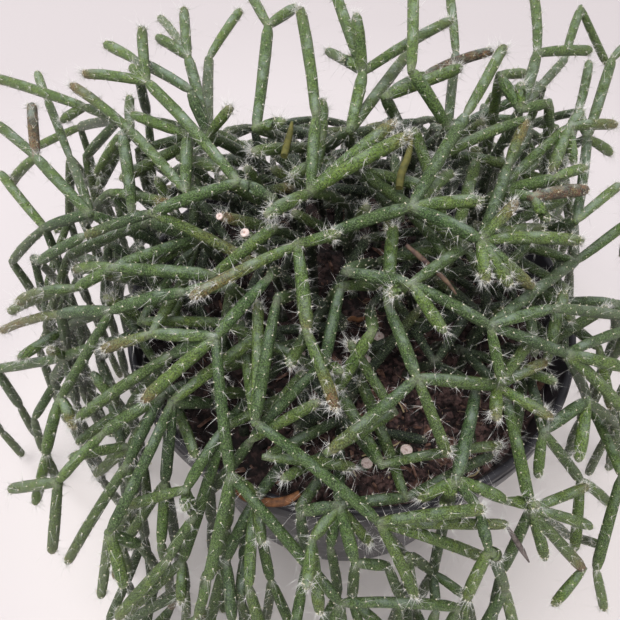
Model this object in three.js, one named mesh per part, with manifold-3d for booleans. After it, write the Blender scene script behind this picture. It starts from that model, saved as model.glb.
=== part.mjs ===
// A mistletoe cactus (Rhipsalis) in a round plastic nursery pot, in millimetres.
// +Z is up, and the origin is the middle of the pot's flat underside.
// The pot, the soil and each stem that stands in the soil are solids of their own. A stem is a spray
// of jointed, finger-long links that fork at their ends, arch over the rim and hang down outside it.
import * as THREE from 'three';
import { mergeVertices } from 'three/addons/utils/BufferGeometryUtils.js';
import Module from 'manifold-3d';

const wasm = await Module();
wasm.setup();

// ---- Driving dimensions ----
const POT = {
  height: 100,
  rimRadius: 75,
  footRadius: 56,
  shoulderRadius: 71.2, // the outside of the wall where it meets the lip
  lipHeight: 9.5,
  lipWall: 2.8,
  wall: 1.6,
  floor: 2.4,
  edge: 1.2, // the bevels along the foot and the rim
  drains: 6,
  drainRadius: 4.5,
  drainRing: 43,
  drainSides: 8,
  sides: 34,
};
const SOIL = {
  level: 88,
  lump: 1.7,
  waves: [33, 37, 21], // how far apart its lumps lie: along x, along y and on the slant
  slant: 0.6, // the share of the slanting lumps
  edgeDrop: 1, // how much lower it lies along the wall
  wallGap: 0.35,
  rings: 4,
  sectors: 22,
};
const SOCKET = { depth: 10, radius: 3.2, sides: 5, under: 0.5, over: 12 }; // a stem's plain hole in the soil
const STEM = {
  sides: 3,
  radius: 2, // of a link at its fullest, out to the corners of its three-sided rings
  jointRadius: 1.6, // where one link grows out of another
  collar: 5, // how far over the soil the first link starts
  neck: 4, // how far before its joint a side link's point starts, inside its parent
  clearance: 4.6, // least distance between the sampled middles of two stems
  siblingGap: 3.9, // the same between two that share a joint, once both are past its crotch
  crotch: 8,
  sampleStep: 2.5,
  footSamples: 5,
  longest: 80,
};
const CLEAR = { pot: 0.6, wall: 1.2, table: 1 }; // free space between a stem and what is round it
// Where the rings of a link stand between its two joints: on the way along a run of links, at the run's
// end, at the start of a side run, and where a side run is a single link.
const RINGS = { through: [0], last: [0, 0.88], side: [0.3], sideLast: [0.25, 0.88] };
// How many links there are at most after each pass of growth.
const MOST_LINKS = {
  grown: 500, outer: 560, front: 640, frontHanging: 710, back: 770, backHanging: 830, inner: 972,
};

// ---- Small vector and number helpers ----
const vec = (x, y, z) => new THREE.Vector3(x, y, z);
const degrees = THREE.MathUtils.degToRad;
const GOLDEN_TURN = degrees(137.508);
const STRAIGHT_ON = Math.cos(degrees(80)); // a child bent less than this carries its parent's tube on

// The "minimal standard" random numbers, so that every build draws the same plant.
let seed = 20481;
function draw(low = 0, high = 1) {
  seed = (seed * 16807) % 2147483647;
  return low + ((high - low) * seed) / 2147483647;
}

// ---- The crown ----
// The crown is an umbrella: high over the middle, falling past the rim to the table.
const CROWN = { x: -5, y: 25, top: 175, fall: 60, fallRadius: 105, fallPower: 2.5 };
function crownHeight(x, y) {
  const out = Math.hypot(x - CROWN.x, y - CROWN.y) / CROWN.fallRadius;
  return CROWN.top - CROWN.fall * Math.pow(out, CROWN.fallPower);
}

// The leading stems are laid out as seen from one point, in front of the pot and above it. A joint is given
// by how far across and down a square plane it is seen, and lies where that line of sight meets the crown.
const VIEW = {
  eye: vec(-13.5, -142, 277),
  lookDown: degrees(52.2),
  plane: 620, // the plane's side
  focal: 672, // and how far it stands from the eye, in the same units
  nearest: 90,
  farthest: 460,
};
const FORWARD = vec(0, Math.cos(VIEW.lookDown), -Math.sin(VIEW.lookDown));
const UPWARD = vec(0, Math.sin(VIEW.lookDown), Math.cos(VIEW.lookDown));
function alongSight([across, down], depth) {
  const right = (depth * (across - VIEW.plane / 2)) / VIEW.focal;
  const up = (depth * (VIEW.plane / 2 - down)) / VIEW.focal;
  return VIEW.eye.clone().addScaledVector(FORWARD, depth).addScaledVector(UPWARD, up).add(vec(right, 0, 0));
}
function crownDepth(place) {
  for (let depth = VIEW.nearest; depth < VIEW.farthest; depth += 1) {
    const p = alongSight(place, depth);
    if (p.z <= crownHeight(p.x, p.y)) return depth;
  }
  return VIEW.farthest;
}

// ---- The leading stems ----
// root: where the stem stands in the soil, in mm. hub: its first joint over the soil, across and down.
// arms: each starts at an earlier joint (the hub is 0, later joints count on) and gives its own joints.
const LEADERS = [
  { root: [-14, -8], hub: [277, 300], arms: [[0, [255, 422], [379, 522], [508, 524]], [2, [492, 561]],
    [2, [416, 598]], [2, [486, 509]]] },
  { root: [-23, 0], hub: [270, 277], arms: [[0, [216, 337], [231, 475], [340, 603], [458, 607]],
    [1, [152, 334], [101, 350]], [1, [172, 355], [77, 419]], [2, [208, 580], [197, 618]], [2, [258, 497]],
    [1, [142, 402]]] },
  { root: [-12, 12], hub: [297, 245], arms: [[0, [190, 298]], [0, [341, 233]],
    [0, [307, 332], [337, 412]]] },
  { root: [2, 10], hub: [325, 236], arms: [[0, [411, 207], [466, 115], [504, 46]], [1, [484, 201]],
    [1, [480, 240], [508, 165], [527, 119]], [5, [583, 241]], [5, [543, 229]], [5, [486, 284]],
    [5, [511, 287]], [5, [533, 288]], [5, [517, 201]], [1, [452, 172]]] },
  { root: [12, 4], hub: [346, 272], arms: [[0, [411, 284], [490, 326], [566, 354], [622, 409]],
    [1, [388, 296]], [1, [467, 246]], [2, [575, 262], [628, 222]], [2, [501, 380]],
    [3, [588, 403], [622, 476], [596, 570], [604, 610]], [3, [628, 330]], [3, [624, 368]],
    [2, [554, 308], [624, 316]], [1, [445, 333]]] },
  { root: [22, 0], hub: [388, 305], arms: [[0, [417, 378], [328, 452]], [1, [496, 386], [547, 361]],
    [3, [496, 421]], [3, [553, 419]], [1, [448, 457]]] },
  { root: [-26, 20], hub: [272, 198], arms: [[0, [238, 182], [147, 82], [142, 27]], [2, [83, 74]],
    [2, [131, 67]], [1, [152, 213], [85, 236], [40, 262]], [6, [258, 266]]] },
  { root: [-42, 6], hub: [132, 212], arms: [[0, [122, 133]]] },
  { root: [-33, 28], hub: [186, 191], arms: [[0, [131, 131], [71, 85]], [0, [188, 135], [131, 114]]] },
  { root: [5, 22], hub: [310, 192], arms: [[0, [397, 121]], [0, [368, 148]], [0, [412, 134]],
    [0, [265, 216]], [0, [334, 160]], [0, [316, 116], [300, 8]], [0, [322, 140], [322, 99]]] },
  { root: [12, 34], hub: [350, 130], arms: [[0, [363, 72], [452, 20]], [1, [336, -6]], [1, [343, 57]],
    [0, [413, 47]], [1, [327, 51]], [1, [356, 13]], [0, [324, 150], [253, 152]]] },
  { root: [36, 18], hub: [498, 192], arms: [[0, [569, 127], [616, 125]], [1, [582, 111]],
    [0, [555, 178], [586, 168]], [0, [532, 197], [588, 190]], [1, [574, 165]], [1, [552, 172]],
    [6, [548, 222]]] },
  { root: [-10, -14], hub: [341, 287], arms: [[0, [325, 362], [342, 373]], [0, [379, 286]]] },
  { root: [8, -10], hub: [373, 330], arms: [[0, [336, 392]]] },
  { root: [-18, 38], hub: [208, 135], arms: [[0, [188, 57], [184, 8]], [1, [157, 37]],
    [0, [209, 58], [241, 10]], [1, [160, 18]], [0, [190, 90], [137, 61], [105, 44]], [0, [232, 106]]] },
  { root: [-46, 24], hub: [118, 121], arms: [[0, [85, 107], [-4, 78]], [0, [80, 127], [37, 147]],
    [0, [80, 92], [82, 48]], [1, [62, 121]]] },
  { root: [20, 42], hub: [385, 97], arms: [[0, [462, 67]], [0, [425, 75], [493, 51]]] },
  { root: [-8, 47], hub: [256, 128], arms: [[0, [268, 26], [250, -6]], [1, [296, 7]], [0, [285, 121]]] },
  { root: [31, 46], hub: [448, 128], arms: [[0, [456, 53], [449, -12]], [0, [411, 70], [413, -8]],
    [0, [475, 87], [469, 52], [474, -8]]] },
  { root: [44, 34], hub: [520, 110], arms: [[0, [537, 53], [533, -8]], [1, [591, 51]],
    [0, [565, 59], [581, 8], [607, 65]], [0, [499, 76]], [7, [525, 74]], [0, [520, 82]],
    [0, [549, 103]]] },
  { root: [56, 14], hub: [576, 221], arms: [[0, [587, 138], [612, 59], [632, 40]],
    [1, [578, 112], [589, 61]], [1, [611, 154]], [0, [620, 185]]] },
  { root: [-50, 6], hub: [90, 214], arms: [[0, [45, 228], [0, 172]], [1, [-4, 213]], [1, [12, 262]],
    [0, [36, 157], [-5, 123]], [5, [32, 104]], [5, [11, 185]], [0, [70, 158], [47, 99], [37, 72]]] },
  { root: [-36, -4], hub: [200, 238], arms: [[0, [148, 222], [68, 256], [-4, 266]],
    [0, [113, 268], [76, 288], [10, 312]], [5, [42, 291], [18, 303]], [4, [76, 270], [-4, 280]],
    [0, [120, 281]]] },
  { root: [-30, -14], hub: [228, 286], arms: [[0, [184, 292], [111, 311], [61, 397], [75, 430]],
    [2, [60, 314], [2, 331]], [2, [68, 328], [18, 359]], [3, [46, 455], [35, 504]]] },
  { root: [-52, -16], hub: [118, 340], arms: [[0, [65, 357], [-4, 369]], [1, [48, 350]],
    [0, [99, 358], [115, 404]], [4, [122, 446]], [5, [92, 372]]] },
  { root: [-40, -30], hub: [163, 396], arms: [[0, [127, 465], [67, 563]], [1, [53, 550], [57, 628]],
    [3, [32, 581]], [0, [130, 446], [69, 458], [-4, 483]], [0, [103, 434], [58, 482], [10, 489]],
    [3, [4, 601]], [10, [52, 552]]] },
  { root: [-26, -32], hub: [224, 428], arms: [[0, [186, 489], [128, 506]], [1, [194, 517]],
    [0, [182, 561], [180, 605]], [4, [118, 619]], [3, [168, 560]], [0, [204, 520], [196, 576]],
    [1, [185, 512]]] },
  { root: [-34, -44], hub: [172, 402], arms: [[0, [165, 482], [161, 545]], [0, [109, 533], [101, 597]],
    [3, [22, 516]], [2, [172, 607]], [3, [140, 545], [158, 575]], [3, [124, 588]]] },
  { root: [28, -14], hub: [505, 396], arms: [[0, [530, 509], [583, 569]], [1, [588, 486]],
    [1, [568, 536]], [2, [552, 606]], [1, [592, 527]], [1, [545, 560]], [4, [600, 545]]] },
  { root: [18, -24], hub: [476, 388], arms: [[0, [456, 479], [433, 573], [466, 597]],
    [1, [478, 508], [489, 551], [466, 600]], [1, [506, 501]], [5, [505, 590]], [1, [442, 508]],
    [1, [418, 500]], [2, [436, 612]], [2, [408, 556]], [5, [500, 558]], [7, [540, 505]]] },
  { root: [52, -14], hub: [543, 432], arms: [[0, [580, 480], [574, 551]], [0, [587, 400]],
    [0, [538, 478]], [3, [578, 462]], [1, [610, 505]]] },
  { root: [-4, -44], hub: [338, 505], arms: [[0, [355, 563], [352, 600]], [0, [405, 498]],
    [0, [312, 540], [240, 614]], [4, [320, 615]], [1, [388, 566]], [0, [330, 548], [338, 594]],
    [4, [306, 590]], [0, [300, 512]], [7, [402, 600]], [0, [372, 545]]] },
  { root: [-22, -54], hub: [255, 500], arms: [[0, [249, 588]], [0, [226, 560], [232, 622]],
    [0, [271, 581]], [0, [262, 545]], [2, [205, 575]], [0, [243, 560], [240, 600]]] },
];

// Short stems that were cut off: where they stand in the soil, how tall they are and how they lean, in mm.
const STUBS = [
  { root: [6, -20], height: 17, lean: [2, 1] },
  { root: [-14, -27], height: 13, lean: [-1, 3] },
  { root: [13, -52], height: 7, lean: [2, -1] },
  { root: [36, -48], height: 8, lean: [-2, 2] },
  { root: [30, 8], height: 12, lean: [3, 2] },
];

// ---- Growing the stems ----
const stems = []; // each: { foot, joints: [point], links: [{ start, end, from, to }] }
const taken = []; // middles of everything placed: { x, y, z, stem, from, to, away }
let linkCount = 0;
const jointOf = ({ stem, joint }) => stems[stem].joints[joint];
for (const { root: [x, y], height, lean } of STUBS) {
  for (let up = 0; up <= height; up += STEM.sampleStep) {
    const share = up / height;
    const place = { x: x + lean[0] * share, y: y + lean[1] * share, z: SOIL.level + up };
    taken.push({ ...place, stem: -1, from: -1, to: -1, away: 0 });
  }
}

const reachOf = (link) => link.start.distanceTo(link.end);
const directionOf = (link) => link.end.clone().sub(link.start).normalize();
const onLink = (link, t) => link.start.clone().lerp(link.end, t);
function samples(link) {
  const count = Math.ceil(reachOf(link) / STEM.sampleStep);
  return Array.from({ length: count + 1 }, (_, i) => onLink(link, i / count));
}

const OUTSIDE = POT.rimRadius + STEM.radius + CLEAR.pot;
const INSIDE = POT.shoulderRadius - POT.wall - STEM.radius - CLEAR.wall;
const OVER_RIM = POT.height + STEM.radius + CLEAR.pot;
const OVER_SOIL = SOIL.level + SOIL.lump + STEM.radius + CLEAR.pot;
function clearOfPot(p) {
  if (p.z < STEM.radius + CLEAR.table) return false;
  if (p.z > OVER_RIM) return true;
  const out = Math.hypot(p.x, p.y);
  return out > OUTSIDE || (out < INSIDE && p.z > OVER_SOIL);
}

// True if a link that starts at the given joint of a stem is clear of everything placed so far. Links
// that share its joint are only kept apart where both have left the joint's crotch behind.
function isFreeOfStems(link, stem, from) {
  for (const p of samples(link)) {
    const beyond = p.distanceTo(link.start) > STEM.crotch;
    for (const q of taken) {
      const shares = q.stem === stem && (q.from === from || q.to === from);
      if (shares && !(beyond && q.from === from && q.away > STEM.crotch)) continue;
      const least = shares ? STEM.siblingGap : STEM.clearance;
      const across = (p.x - q.x) ** 2 + (p.y - q.y) ** 2;
      if (across + (p.z - q.z) ** 2 < least * least) return false;
    }
  }
  return true;
}
const isFree = (link, stem, from) => samples(link).every(clearOfPot) && isFreeOfStems(link, stem, from);

function addLink(stem, link, from) {
  const to = stems[stem].joints.push(link.end) - 1;
  stems[stem].links.push({ ...link, from, to });
  for (const p of samples(link)) {
    taken.push({ x: p.x, y: p.y, z: p.z, stem, from, to, away: p.distanceTo(link.start) });
  }
  linkCount += 1;
  return to;
}
// Takes a stem's last link back.
function dropLink(stem) {
  const { to } = stems[stem].links.pop();
  stems[stem].joints.pop();
  while (taken.at(-1).stem === stem && taken.at(-1).to === to) taken.pop();
  linkCount -= 1;
}

// A stem stands upright in its socket and reaches its hub in two links. Their knee is moved ever further
// out, round and round, until both pass whatever is in the way.
const KNEE = { tries: 40, across: 0.4, up: 0.62, spread: 2.4, lift: 0.4 };
const COLLAR_SAMPLES = 2; // the samples of the first link that are still close over the soil
function kneeOf(collar, hub, n) {
  const turn = n * GOLDEN_TURN;
  const out = KNEE.spread * Math.sqrt(n);
  return vec(
    collar.x + KNEE.across * (hub.x - collar.x) + out * Math.cos(turn),
    collar.y + KNEE.across * (hub.y - collar.y) + out * Math.sin(turn),
    collar.z + KNEE.up * (hub.z - collar.z) + KNEE.lift * out * Math.sin(2 * turn),
  );
}
function reachHub(stem, hub) {
  const [collar] = stems[stem].joints;
  for (let n = 0; n < KNEE.tries; n++) {
    const knee = kneeOf(collar, hub, n);
    const lower = { start: collar, end: knee };
    if (!samples(lower).slice(COLLAR_SAMPLES).every(clearOfPot) || !isFreeOfStems(lower, stem, 0)) continue;
    const kneeJoint = addLink(stem, lower, 0);
    const upper = { start: knee, end: hub };
    if (isFree(upper, stem, kneeJoint)) return addLink(stem, upper, kneeJoint);
    dropLink(stem);
  }
  return null;
}
function startStem([x, y], hubs) {
  const stem = stems.length;
  const foot = vec(x, y, SOIL.level - SOCKET.depth);
  const collar = vec(x, y, SOIL.level + STEM.collar);
  stems.push({ foot, joints: [collar], links: [] });
  for (let n = 0; n <= STEM.footSamples; n++) {
    const p = foot.clone().lerp(collar, n / STEM.footSamples);
    taken.push({ x, y, z: p.z, stem, from: -1, to: 0, away: 0 });
  }
  for (const hub of hubs) {
    const joint = reachHub(stem, hub);
    if (joint !== null) return joint;
  }
  stems.pop();
  while (taken.at(-1).stem === stem) taken.pop();
  return null;
}

// Depths to try for a joint: on the crown first, then ever further under it, then a little over it.
// High in the plane, where the crown falls away behind, a stem stands out over it instead of following it.
const LAYERS = [0, 4, 8, 12, 16, 20, 25, 30, 36, 42, 50, -5, -10, -16];
const HUB_UNDER = 4; // how much deeper a hub lies than the links that grow on from it
const STANDS_OUT = { above: 190, past: 6, slope: 0.42 };
function layJoint(stem, from, place) {
  const start = stems[stem].joints[from];
  const startDepth = start.clone().sub(VIEW.eye).dot(FORWARD);
  let depth = crownDepth(place);
  if (place[1] < STANDS_OUT.above) {
    const sideways = alongSight(place, startDepth).distanceTo(start);
    depth = Math.min(depth, startDepth + STANDS_OUT.past + STANDS_OUT.slope * sideways);
  }
  const link = LAYERS.map((layer) => ({ start, end: alongSight(place, depth + layer), isPlanned: true }))
    .find((l) => reachOf(l) < STEM.longest && isFree(l, stem, from));
  return link && addLink(stem, link, from);
}
function layStem({ root, hub, arms }) {
  const surface = crownDepth(hub) + HUB_UNDER;
  const hubJoint = startStem(root, LAYERS.map((layer) => alongSight(hub, surface + layer)));
  if (hubJoint === null) return;
  const laid = [hubJoint]; // the joint laid for each planned one, or undefined where there was no room
  for (const [from, ...places] of arms) {
    let joint = laid[from];
    for (const place of places) {
      if (joint !== undefined) joint = layJoint(stems.length - 1, joint, place);
      laid.push(joint);
    }
  }
}
LEADERS.forEach(layStem);

// ---- The filling stems ----
// They stand between the leading stems, keep under them, and droop over the rim on all sides.
const FILL = {
  stems: 20,
  rootSpread: 61,
  rootGap: 8.5,
  rootTries: 900,
  hubTries: 6,
  hubReach: [8, 26],
  hubHeight: [20, 50],
  headingSwing: 28,
  startPitch: 24,
  under: 3, // how far below the crown they keep where the leading stems lie
  lowFront: { below: 545, over: 8 }, // and how far over it they may stand where it hangs down in front
  openSoil: { x: 22, y: -44, radius: 17 }, // the patch of bare soil at the front
  openView: [ // parts of the plane where only leading stems are seen
    { left: 0, right: 620, top: 0, bottom: 80 },
    { left: 150, right: 470, top: 80, bottom: 118 },
    { left: 575, right: 620, top: 150, bottom: 300 },
    { left: 0, right: 110, top: 490, bottom: 620 },
    { left: 520, right: 620, top: 480, bottom: 620 },
  ],
  widest: 150,
  mostLinks: 34,
  tries: 12,
  freeStart: 4, // the samples at a link's start that may still be as high as the joint it grows from
};
function seenAt(p) {
  const ray = p.clone().sub(VIEW.eye);
  const scale = VIEW.focal / ray.dot(FORWARD);
  return [VIEW.plane / 2 + scale * ray.x, VIEW.plane / 2 - scale * ray.dot(UPWARD)];
}
const isInPlane = (place) => place.every((side) => side > 0 && side < VIEW.plane);
function overOpenSoil(x, y) {
  return Math.hypot(x - FILL.openSoil.x, y - FILL.openSoil.y) < FILL.openSoil.radius;
}
function isWithin([across, down], { left, right, top, bottom }) {
  return across > left && across < right && down > top && down < bottom;
}
function overCrown(place) {
  if (!isInPlane(place)) return 0;
  return place[1] > FILL.lowFront.below ? FILL.lowFront.over : -FILL.under;
}
function fillAllows(p) {
  const place = seenAt(p);
  if (overOpenSoil(p.x, p.y) || FILL.openView.some((part) => isWithin(place, part))) return false;
  return p.z < crownHeight(p.x, p.y) + overCrown(place) && Math.hypot(p.x, p.y) < FILL.widest;
}

// A joint bears one, two or three links: the chance of one and of two at most, and how far they spread
// sideways, in degrees. They droop more where their joint is out past the rim.
const FORK = {
  one: 0.22,
  two: 0.72,
  spreads: [[0], [-27, 27], [-42, 0, 42]],
  swing: 16,
  outward: 0.3, // the share of the turn to straight out from the middle that each link makes
  reach: [21, 40],
  droop: { within: [0, 26], beyond: [16, 56] },
  droopsFrom: { front: 78, back: 58, backY: 35 },
  steepest: -84,
};
function childLink(start, heading, pitch) {
  const reach = draw(...FORK.reach);
  const flat = reach * Math.cos(pitch);
  const step = vec(flat * Math.cos(heading), flat * Math.sin(heading), reach * Math.sin(pitch));
  return { start, end: step.add(start) };
}
const turnBetween = (a, b) => Math.atan2(Math.sin(b - a), Math.cos(b - a));
const isAllowed = (link) => samples(link).slice(FILL.freeStart).every(fillAllows);
const fits = (link, stem, joint) => isAllowed(link) && isFree(link, stem, joint);

function growChild({ stem, joint, heading, pitch }, spread, droop) {
  const { x, y } = stems[stem].joints[joint];
  const outward = FORK.outward * turnBetween(heading, Math.atan2(y, x));
  for (let n = 0; n < FILL.tries; n++) {
    const turned = heading + outward + degrees(spread + draw(-FORK.swing, FORK.swing));
    const tilted = Math.max(pitch - degrees(draw(...droop)), degrees(FORK.steepest));
    const link = childLink(stems[stem].joints[joint], turned, tilted);
    if (fits(link, stem, joint)) {
      return [{ stem, joint: addLink(stem, link, joint), heading: turned, pitch: tilted }];
    }
  }
  return [];
}
// Grows up to three children at a place and returns the new tips.
function fork(place) {
  const { x, y } = jointOf(place);
  const pick = draw();
  const spreads = FORK.spreads[pick < FORK.one ? 0 : pick < FORK.two ? 1 : 2];
  const { front, back, backY } = FORK.droopsFrom;
  const isBeyond = Math.hypot(x, y) > (y > backY ? back : front);
  const droop = isBeyond ? FORK.droop.beyond : FORK.droop.within;
  return spreads.flatMap((spread) => growChild(place, spread, droop));
}

// The places that stems grow on from: the leading stems' tips out of view, then the filling stems' hubs,
// then the leading stems' forks from the back to the front.
const fromBack = (a, b) => jointOf(b).y - jointOf(a).y;
const fromFront = (a, b) => jointOf(a).y - jointOf(b).y;
function endOfLink(link, stem) {
  const d = link.end.clone().sub(link.start);
  return { stem, joint: link.to, heading: Math.atan2(d.y, d.x), pitch: Math.asin(d.z / d.length()) };
}
const tips = [];
const forks = [];
stems.forEach(({ links }, stem) => {
  for (const link of links) {
    const isTip = !links.some((l) => l.from === link.to);
    if (!isTip) forks.push(endOfLink(link, stem));
    else if (!isInPlane(seenAt(link.end))) tips.push(endOfLink(link, stem));
  }
});

const roots = [...LEADERS, ...STUBS].map(({ root }) => root);
function startFillStem(n) {
  const out = FILL.rootSpread * Math.sqrt(draw(0.08, 1));
  const turn = n * GOLDEN_TURN;
  const x = out * Math.cos(turn);
  const y = out * Math.sin(turn);
  const isNear = (root) => Math.hypot(root[0] - x, root[1] - y) < FILL.rootGap;
  if (overOpenSoil(x, y) || roots.some(isNear)) return;
  const heading = turn + degrees(draw(-FILL.headingSwing, FILL.headingSwing));
  const hubs = Array.from({ length: FILL.hubTries }, () => {
    const reach = draw(...FILL.hubReach);
    const height = SOIL.level + draw(...FILL.hubHeight);
    return vec(x + reach * Math.cos(heading), y + reach * Math.sin(heading), height);
  });
  const joint = startStem([x, y], hubs.filter(fillAllows));
  if (joint === null) return;
  roots.push([x, y]);
  tips.push({ stem: stems.length - 1, joint, heading, pitch: degrees(FILL.startPitch) });
}
const ALL_STEMS = stems.length + FILL.stems;
for (let n = 1; stems.length < ALL_STEMS && n < FILL.rootTries; n++) startFillStem(n);

function growTips(from, most) {
  const queue = [...from];
  while (queue.length && linkCount < most) {
    const tip = queue.shift();
    if (stems[tip.stem].links.length < FILL.mostLinks) queue.push(...fork(tip));
  }
}
growTips([...tips, ...forks.sort(fromBack)], MOST_LINKS.grown);

// Single side links, from joints that still have room round them: they hang outside the pot, over its
// front and over its back, and inside the crown they cross every way.
const OUTER = { from: 70, to: FILL.widest, sweep: [-65, 65], pitch: [-82, -18], rounds: 4 };
const FRONT = {
  from: 45, to: 132, sweep: [-60, 60], pitch: [-84, -10], rounds: 4,
  seen: { left: 120, right: 510, top: 400, bottom: 700 },
};
const BACK = {
  from: 48, to: 132, sweep: [-60, 60], pitch: [-88, -30], rounds: 4,
  seen: { left: 60, right: 600, top: 60, bottom: 220 },
};
const INNER = { from: 0, to: 74, sweep: [-180, 180], pitch: [-14, 40], rounds: 4 };
const MOST_FROM_JOINT = 3;
function bearsSideLink(place, { from, to, seen }) {
  const start = jointOf(place);
  const out = Math.hypot(start.x, start.y);
  const grown = stems[place.stem].links.filter((link) => link.from === place.joint).length;
  return out > from && out < to && grown < MOST_FROM_JOINT && (!seen || isWithin(seenAt(start), seen));
}
function sideLink(place, kind) {
  if (!bearsSideLink(place, kind)) return;
  const start = jointOf(place);
  for (let n = 0; n < FILL.tries; n++) {
    const heading = Math.atan2(start.y, start.x) + degrees(draw(...kind.sweep));
    const link = childLink(start, heading, degrees(draw(...kind.pitch)));
    if (fits(link, place.stem, place.joint)) {
      addLink(place.stem, link, place.joint);
      return;
    }
  }
}
function addSideLinks(kind, most, order) {
  for (let round = 0; round < kind.rounds; round++) {
    const places = stems.flatMap(({ links }, stem) => links.map(({ to }) => ({ stem, joint: to })));
    for (const place of places.sort(order)) {
      if (linkCount < most) sideLink(place, kind);
    }
  }
}
// The bare ends outside the rim, all but the planned ones, which still have room to hang further.
const HANGING = { middle: 25, low: 22, out: 60 };
function hangingTips(isAtFront) {
  const isHanging = ({ x, y, z }) => z > HANGING.low && Math.hypot(x, y) > HANGING.out;
  const isThere = (end) => isHanging(end) && (end.y < HANGING.middle) === isAtFront;
  return stems.flatMap(({ links }, stem) => links
    .filter(({ to, end, isPlanned }) => !isPlanned && isThere(end) && !links.some((l) => l.from === to))
    .map((link) => endOfLink(link, stem))).sort(fromFront);
}
addSideLinks(OUTER, MOST_LINKS.outer, fromBack);
addSideLinks(FRONT, MOST_LINKS.front, fromFront);
growTips(hangingTips(true), MOST_LINKS.frontHanging);
addSideLinks(BACK, MOST_LINKS.back, fromBack);
growTips(hangingTips(false), MOST_LINKS.backHanging);
addSideLinks(INNER, MOST_LINKS.inner, fromFront);

// ---- Solids ----
function manifoldOf(positions, indices) {
  const vertProperties = Float32Array.from(positions);
  const triVerts = Uint32Array.from(indices);
  return new wasm.Manifold(new wasm.Mesh({ numProp: 3, vertProperties, triVerts }));
}
function solid(geometry) {
  geometry.deleteAttribute('normal');
  geometry.deleteAttribute('uv');
  const merged = mergeVertices(geometry, 1e-4);
  return manifoldOf(merged.getAttribute('position').array, merged.getIndex().array);
}
function geometryOf(manifold) {
  const mesh = manifold.getMesh();
  const geometry = new THREE.BufferGeometry();
  geometry.setAttribute('position', new THREE.BufferAttribute(Float32Array.from(mesh.vertProperties), 3));
  geometry.setIndex(new THREE.BufferAttribute(Uint32Array.from(mesh.triVerts), 1));
  return geometry;
}

// The corners of rings of { centre, axis, radius }, each ring turned half a side past the last.
function ringPoints(rings) {
  const across = vec(1, 0, 0);
  if (Math.abs(rings[0].axis.x) > 0.9) across.set(0, 1, 0);
  return rings.flatMap(({ centre, axis, radius }, i) => {
    across.addScaledVector(axis, -across.dot(axis)).normalize();
    const side = axis.clone().cross(across);
    return Array.from({ length: STEM.sides }, (_, k) => {
      const angle = ((k + i / 2) * 2 * Math.PI) / STEM.sides;
      return centre.clone()
        .addScaledVector(across, radius * Math.cos(angle))
        .addScaledVector(side, radius * Math.sin(angle));
    });
  });
}
// A tube through such rings. It ends in the points given before its first ring and past its last one,
// or flat where there is none.
function tube(rings, firstPoint, lastPoint) {
  const points = ringPoints(rings);
  const faces = [];
  const next = (k) => (k + 1) % STEM.sides;
  for (let ring = 0; ring < points.length - STEM.sides; ring += STEM.sides) {
    for (let k = 0; k < STEM.sides; k++) {
      const [a, b] = [ring + k, ring + next(k)];
      faces.push(a, b, a + STEM.sides, b, b + STEM.sides, a + STEM.sides);
    }
  }
  const cap = (ring, point) => {
    const end = point ? points.push(point) - 1 : ring;
    return Array.from({ length: STEM.sides }, (_, k) => [ring + k, ring + next(k), end])
      .filter((face) => new Set(face).size === 3);
  };
  const lastRing = points.length - STEM.sides;
  cap(0, firstPoint).forEach((face) => faces.push(...face.reverse()));
  cap(lastRing, lastPoint).forEach((face) => faces.push(...face));
  return manifoldOf(points.flatMap((p) => p.toArray()), faces);
}

// The rings of a run of links, each square to the way the run heads there.
function runRings(run, isSide) {
  const rings = [];
  run.forEach((link, n) => {
    const isLast = n === run.length - 1;
    const isStart = n === 0 && isSide;
    const [among, ending] = isStart ? [RINGS.side, RINGS.sideLast] : [RINGS.through, RINGS.last];
    const along = isLast ? ending : among;
    along.forEach((t) => {
      const isJoint = t === 0;
      const axis = directionOf(link);
      if (isJoint && n > 0) axis.add(directionOf(run[n - 1])).normalize();
      rings.push({ centre: onLink(link, t), axis, radius: isJoint ? STEM.jointRadius : STEM.radius });
    });
  });
  return rings;
}
// Splits a stem's links into runs: at a joint the straightest child carries its parent's run on.
function runsOf({ links }) {
  const runs = [];
  const started = new Set();
  const carriesOn = (last) => {
    const heading = directionOf(last);
    const straightness = (link) => heading.dot(directionOf(link));
    const [best] = links.filter((link) => link.from === last.to && !started.has(link))
      .sort((a, b) => straightness(b) - straightness(a));
    return best && straightness(best) >= STRAIGHT_ON ? best : null;
  };
  for (const first of links) {
    if (started.has(first)) continue;
    const run = [];
    for (let link = first; link; link = carriesOn(link)) {
      run.push(link);
      started.add(link);
    }
    runs.push(run);
  }
  return runs;
}

// The main run stands in the soil, and a side run starts in a point inside the link that it grows from.
function mainTube(stem, run) {
  const rings = runRings(run, false);
  rings[0].radius = STEM.radius;
  rings[0].axis.set(0, 0, 1);
  rings.unshift({ centre: stem.foot, axis: vec(0, 0, 1), radius: STEM.radius });
  return tube(rings, null, run.at(-1).end);
}
function sideTube(stem, run) {
  const parent = stem.links.find((link) => link.to === run[0].from);
  const neck = onLink(parent, 1 - STEM.neck / reachOf(parent));
  return tube(runRings(run, true), neck, run.at(-1).end);
}
function stemSolid(stem) {
  const [main, ...sides] = runsOf(stem);
  return sides.reduce((whole, run) => {
    const side = run[0].from === 0 ? mainTube(stem, run) : sideTube(stem, run);
    return whole.add(side);
  }, mainTube(stem, main));
}

// A cut stub is a short upright stem with a flat, level cut.
function stubSolid({ root: [x, y], height, lean }) {
  const ringAt = (z, share) => ({
    centre: vec(x + lean[0] * share, y + lean[1] * share, z),
    axis: vec(0, 0, 1),
    radius: STEM.radius,
  });
  return tube([ringAt(SOIL.level - SOCKET.depth, 0), ringAt(SOIL.level, 0), ringAt(SOIL.level + height, 1)]);
}

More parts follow.
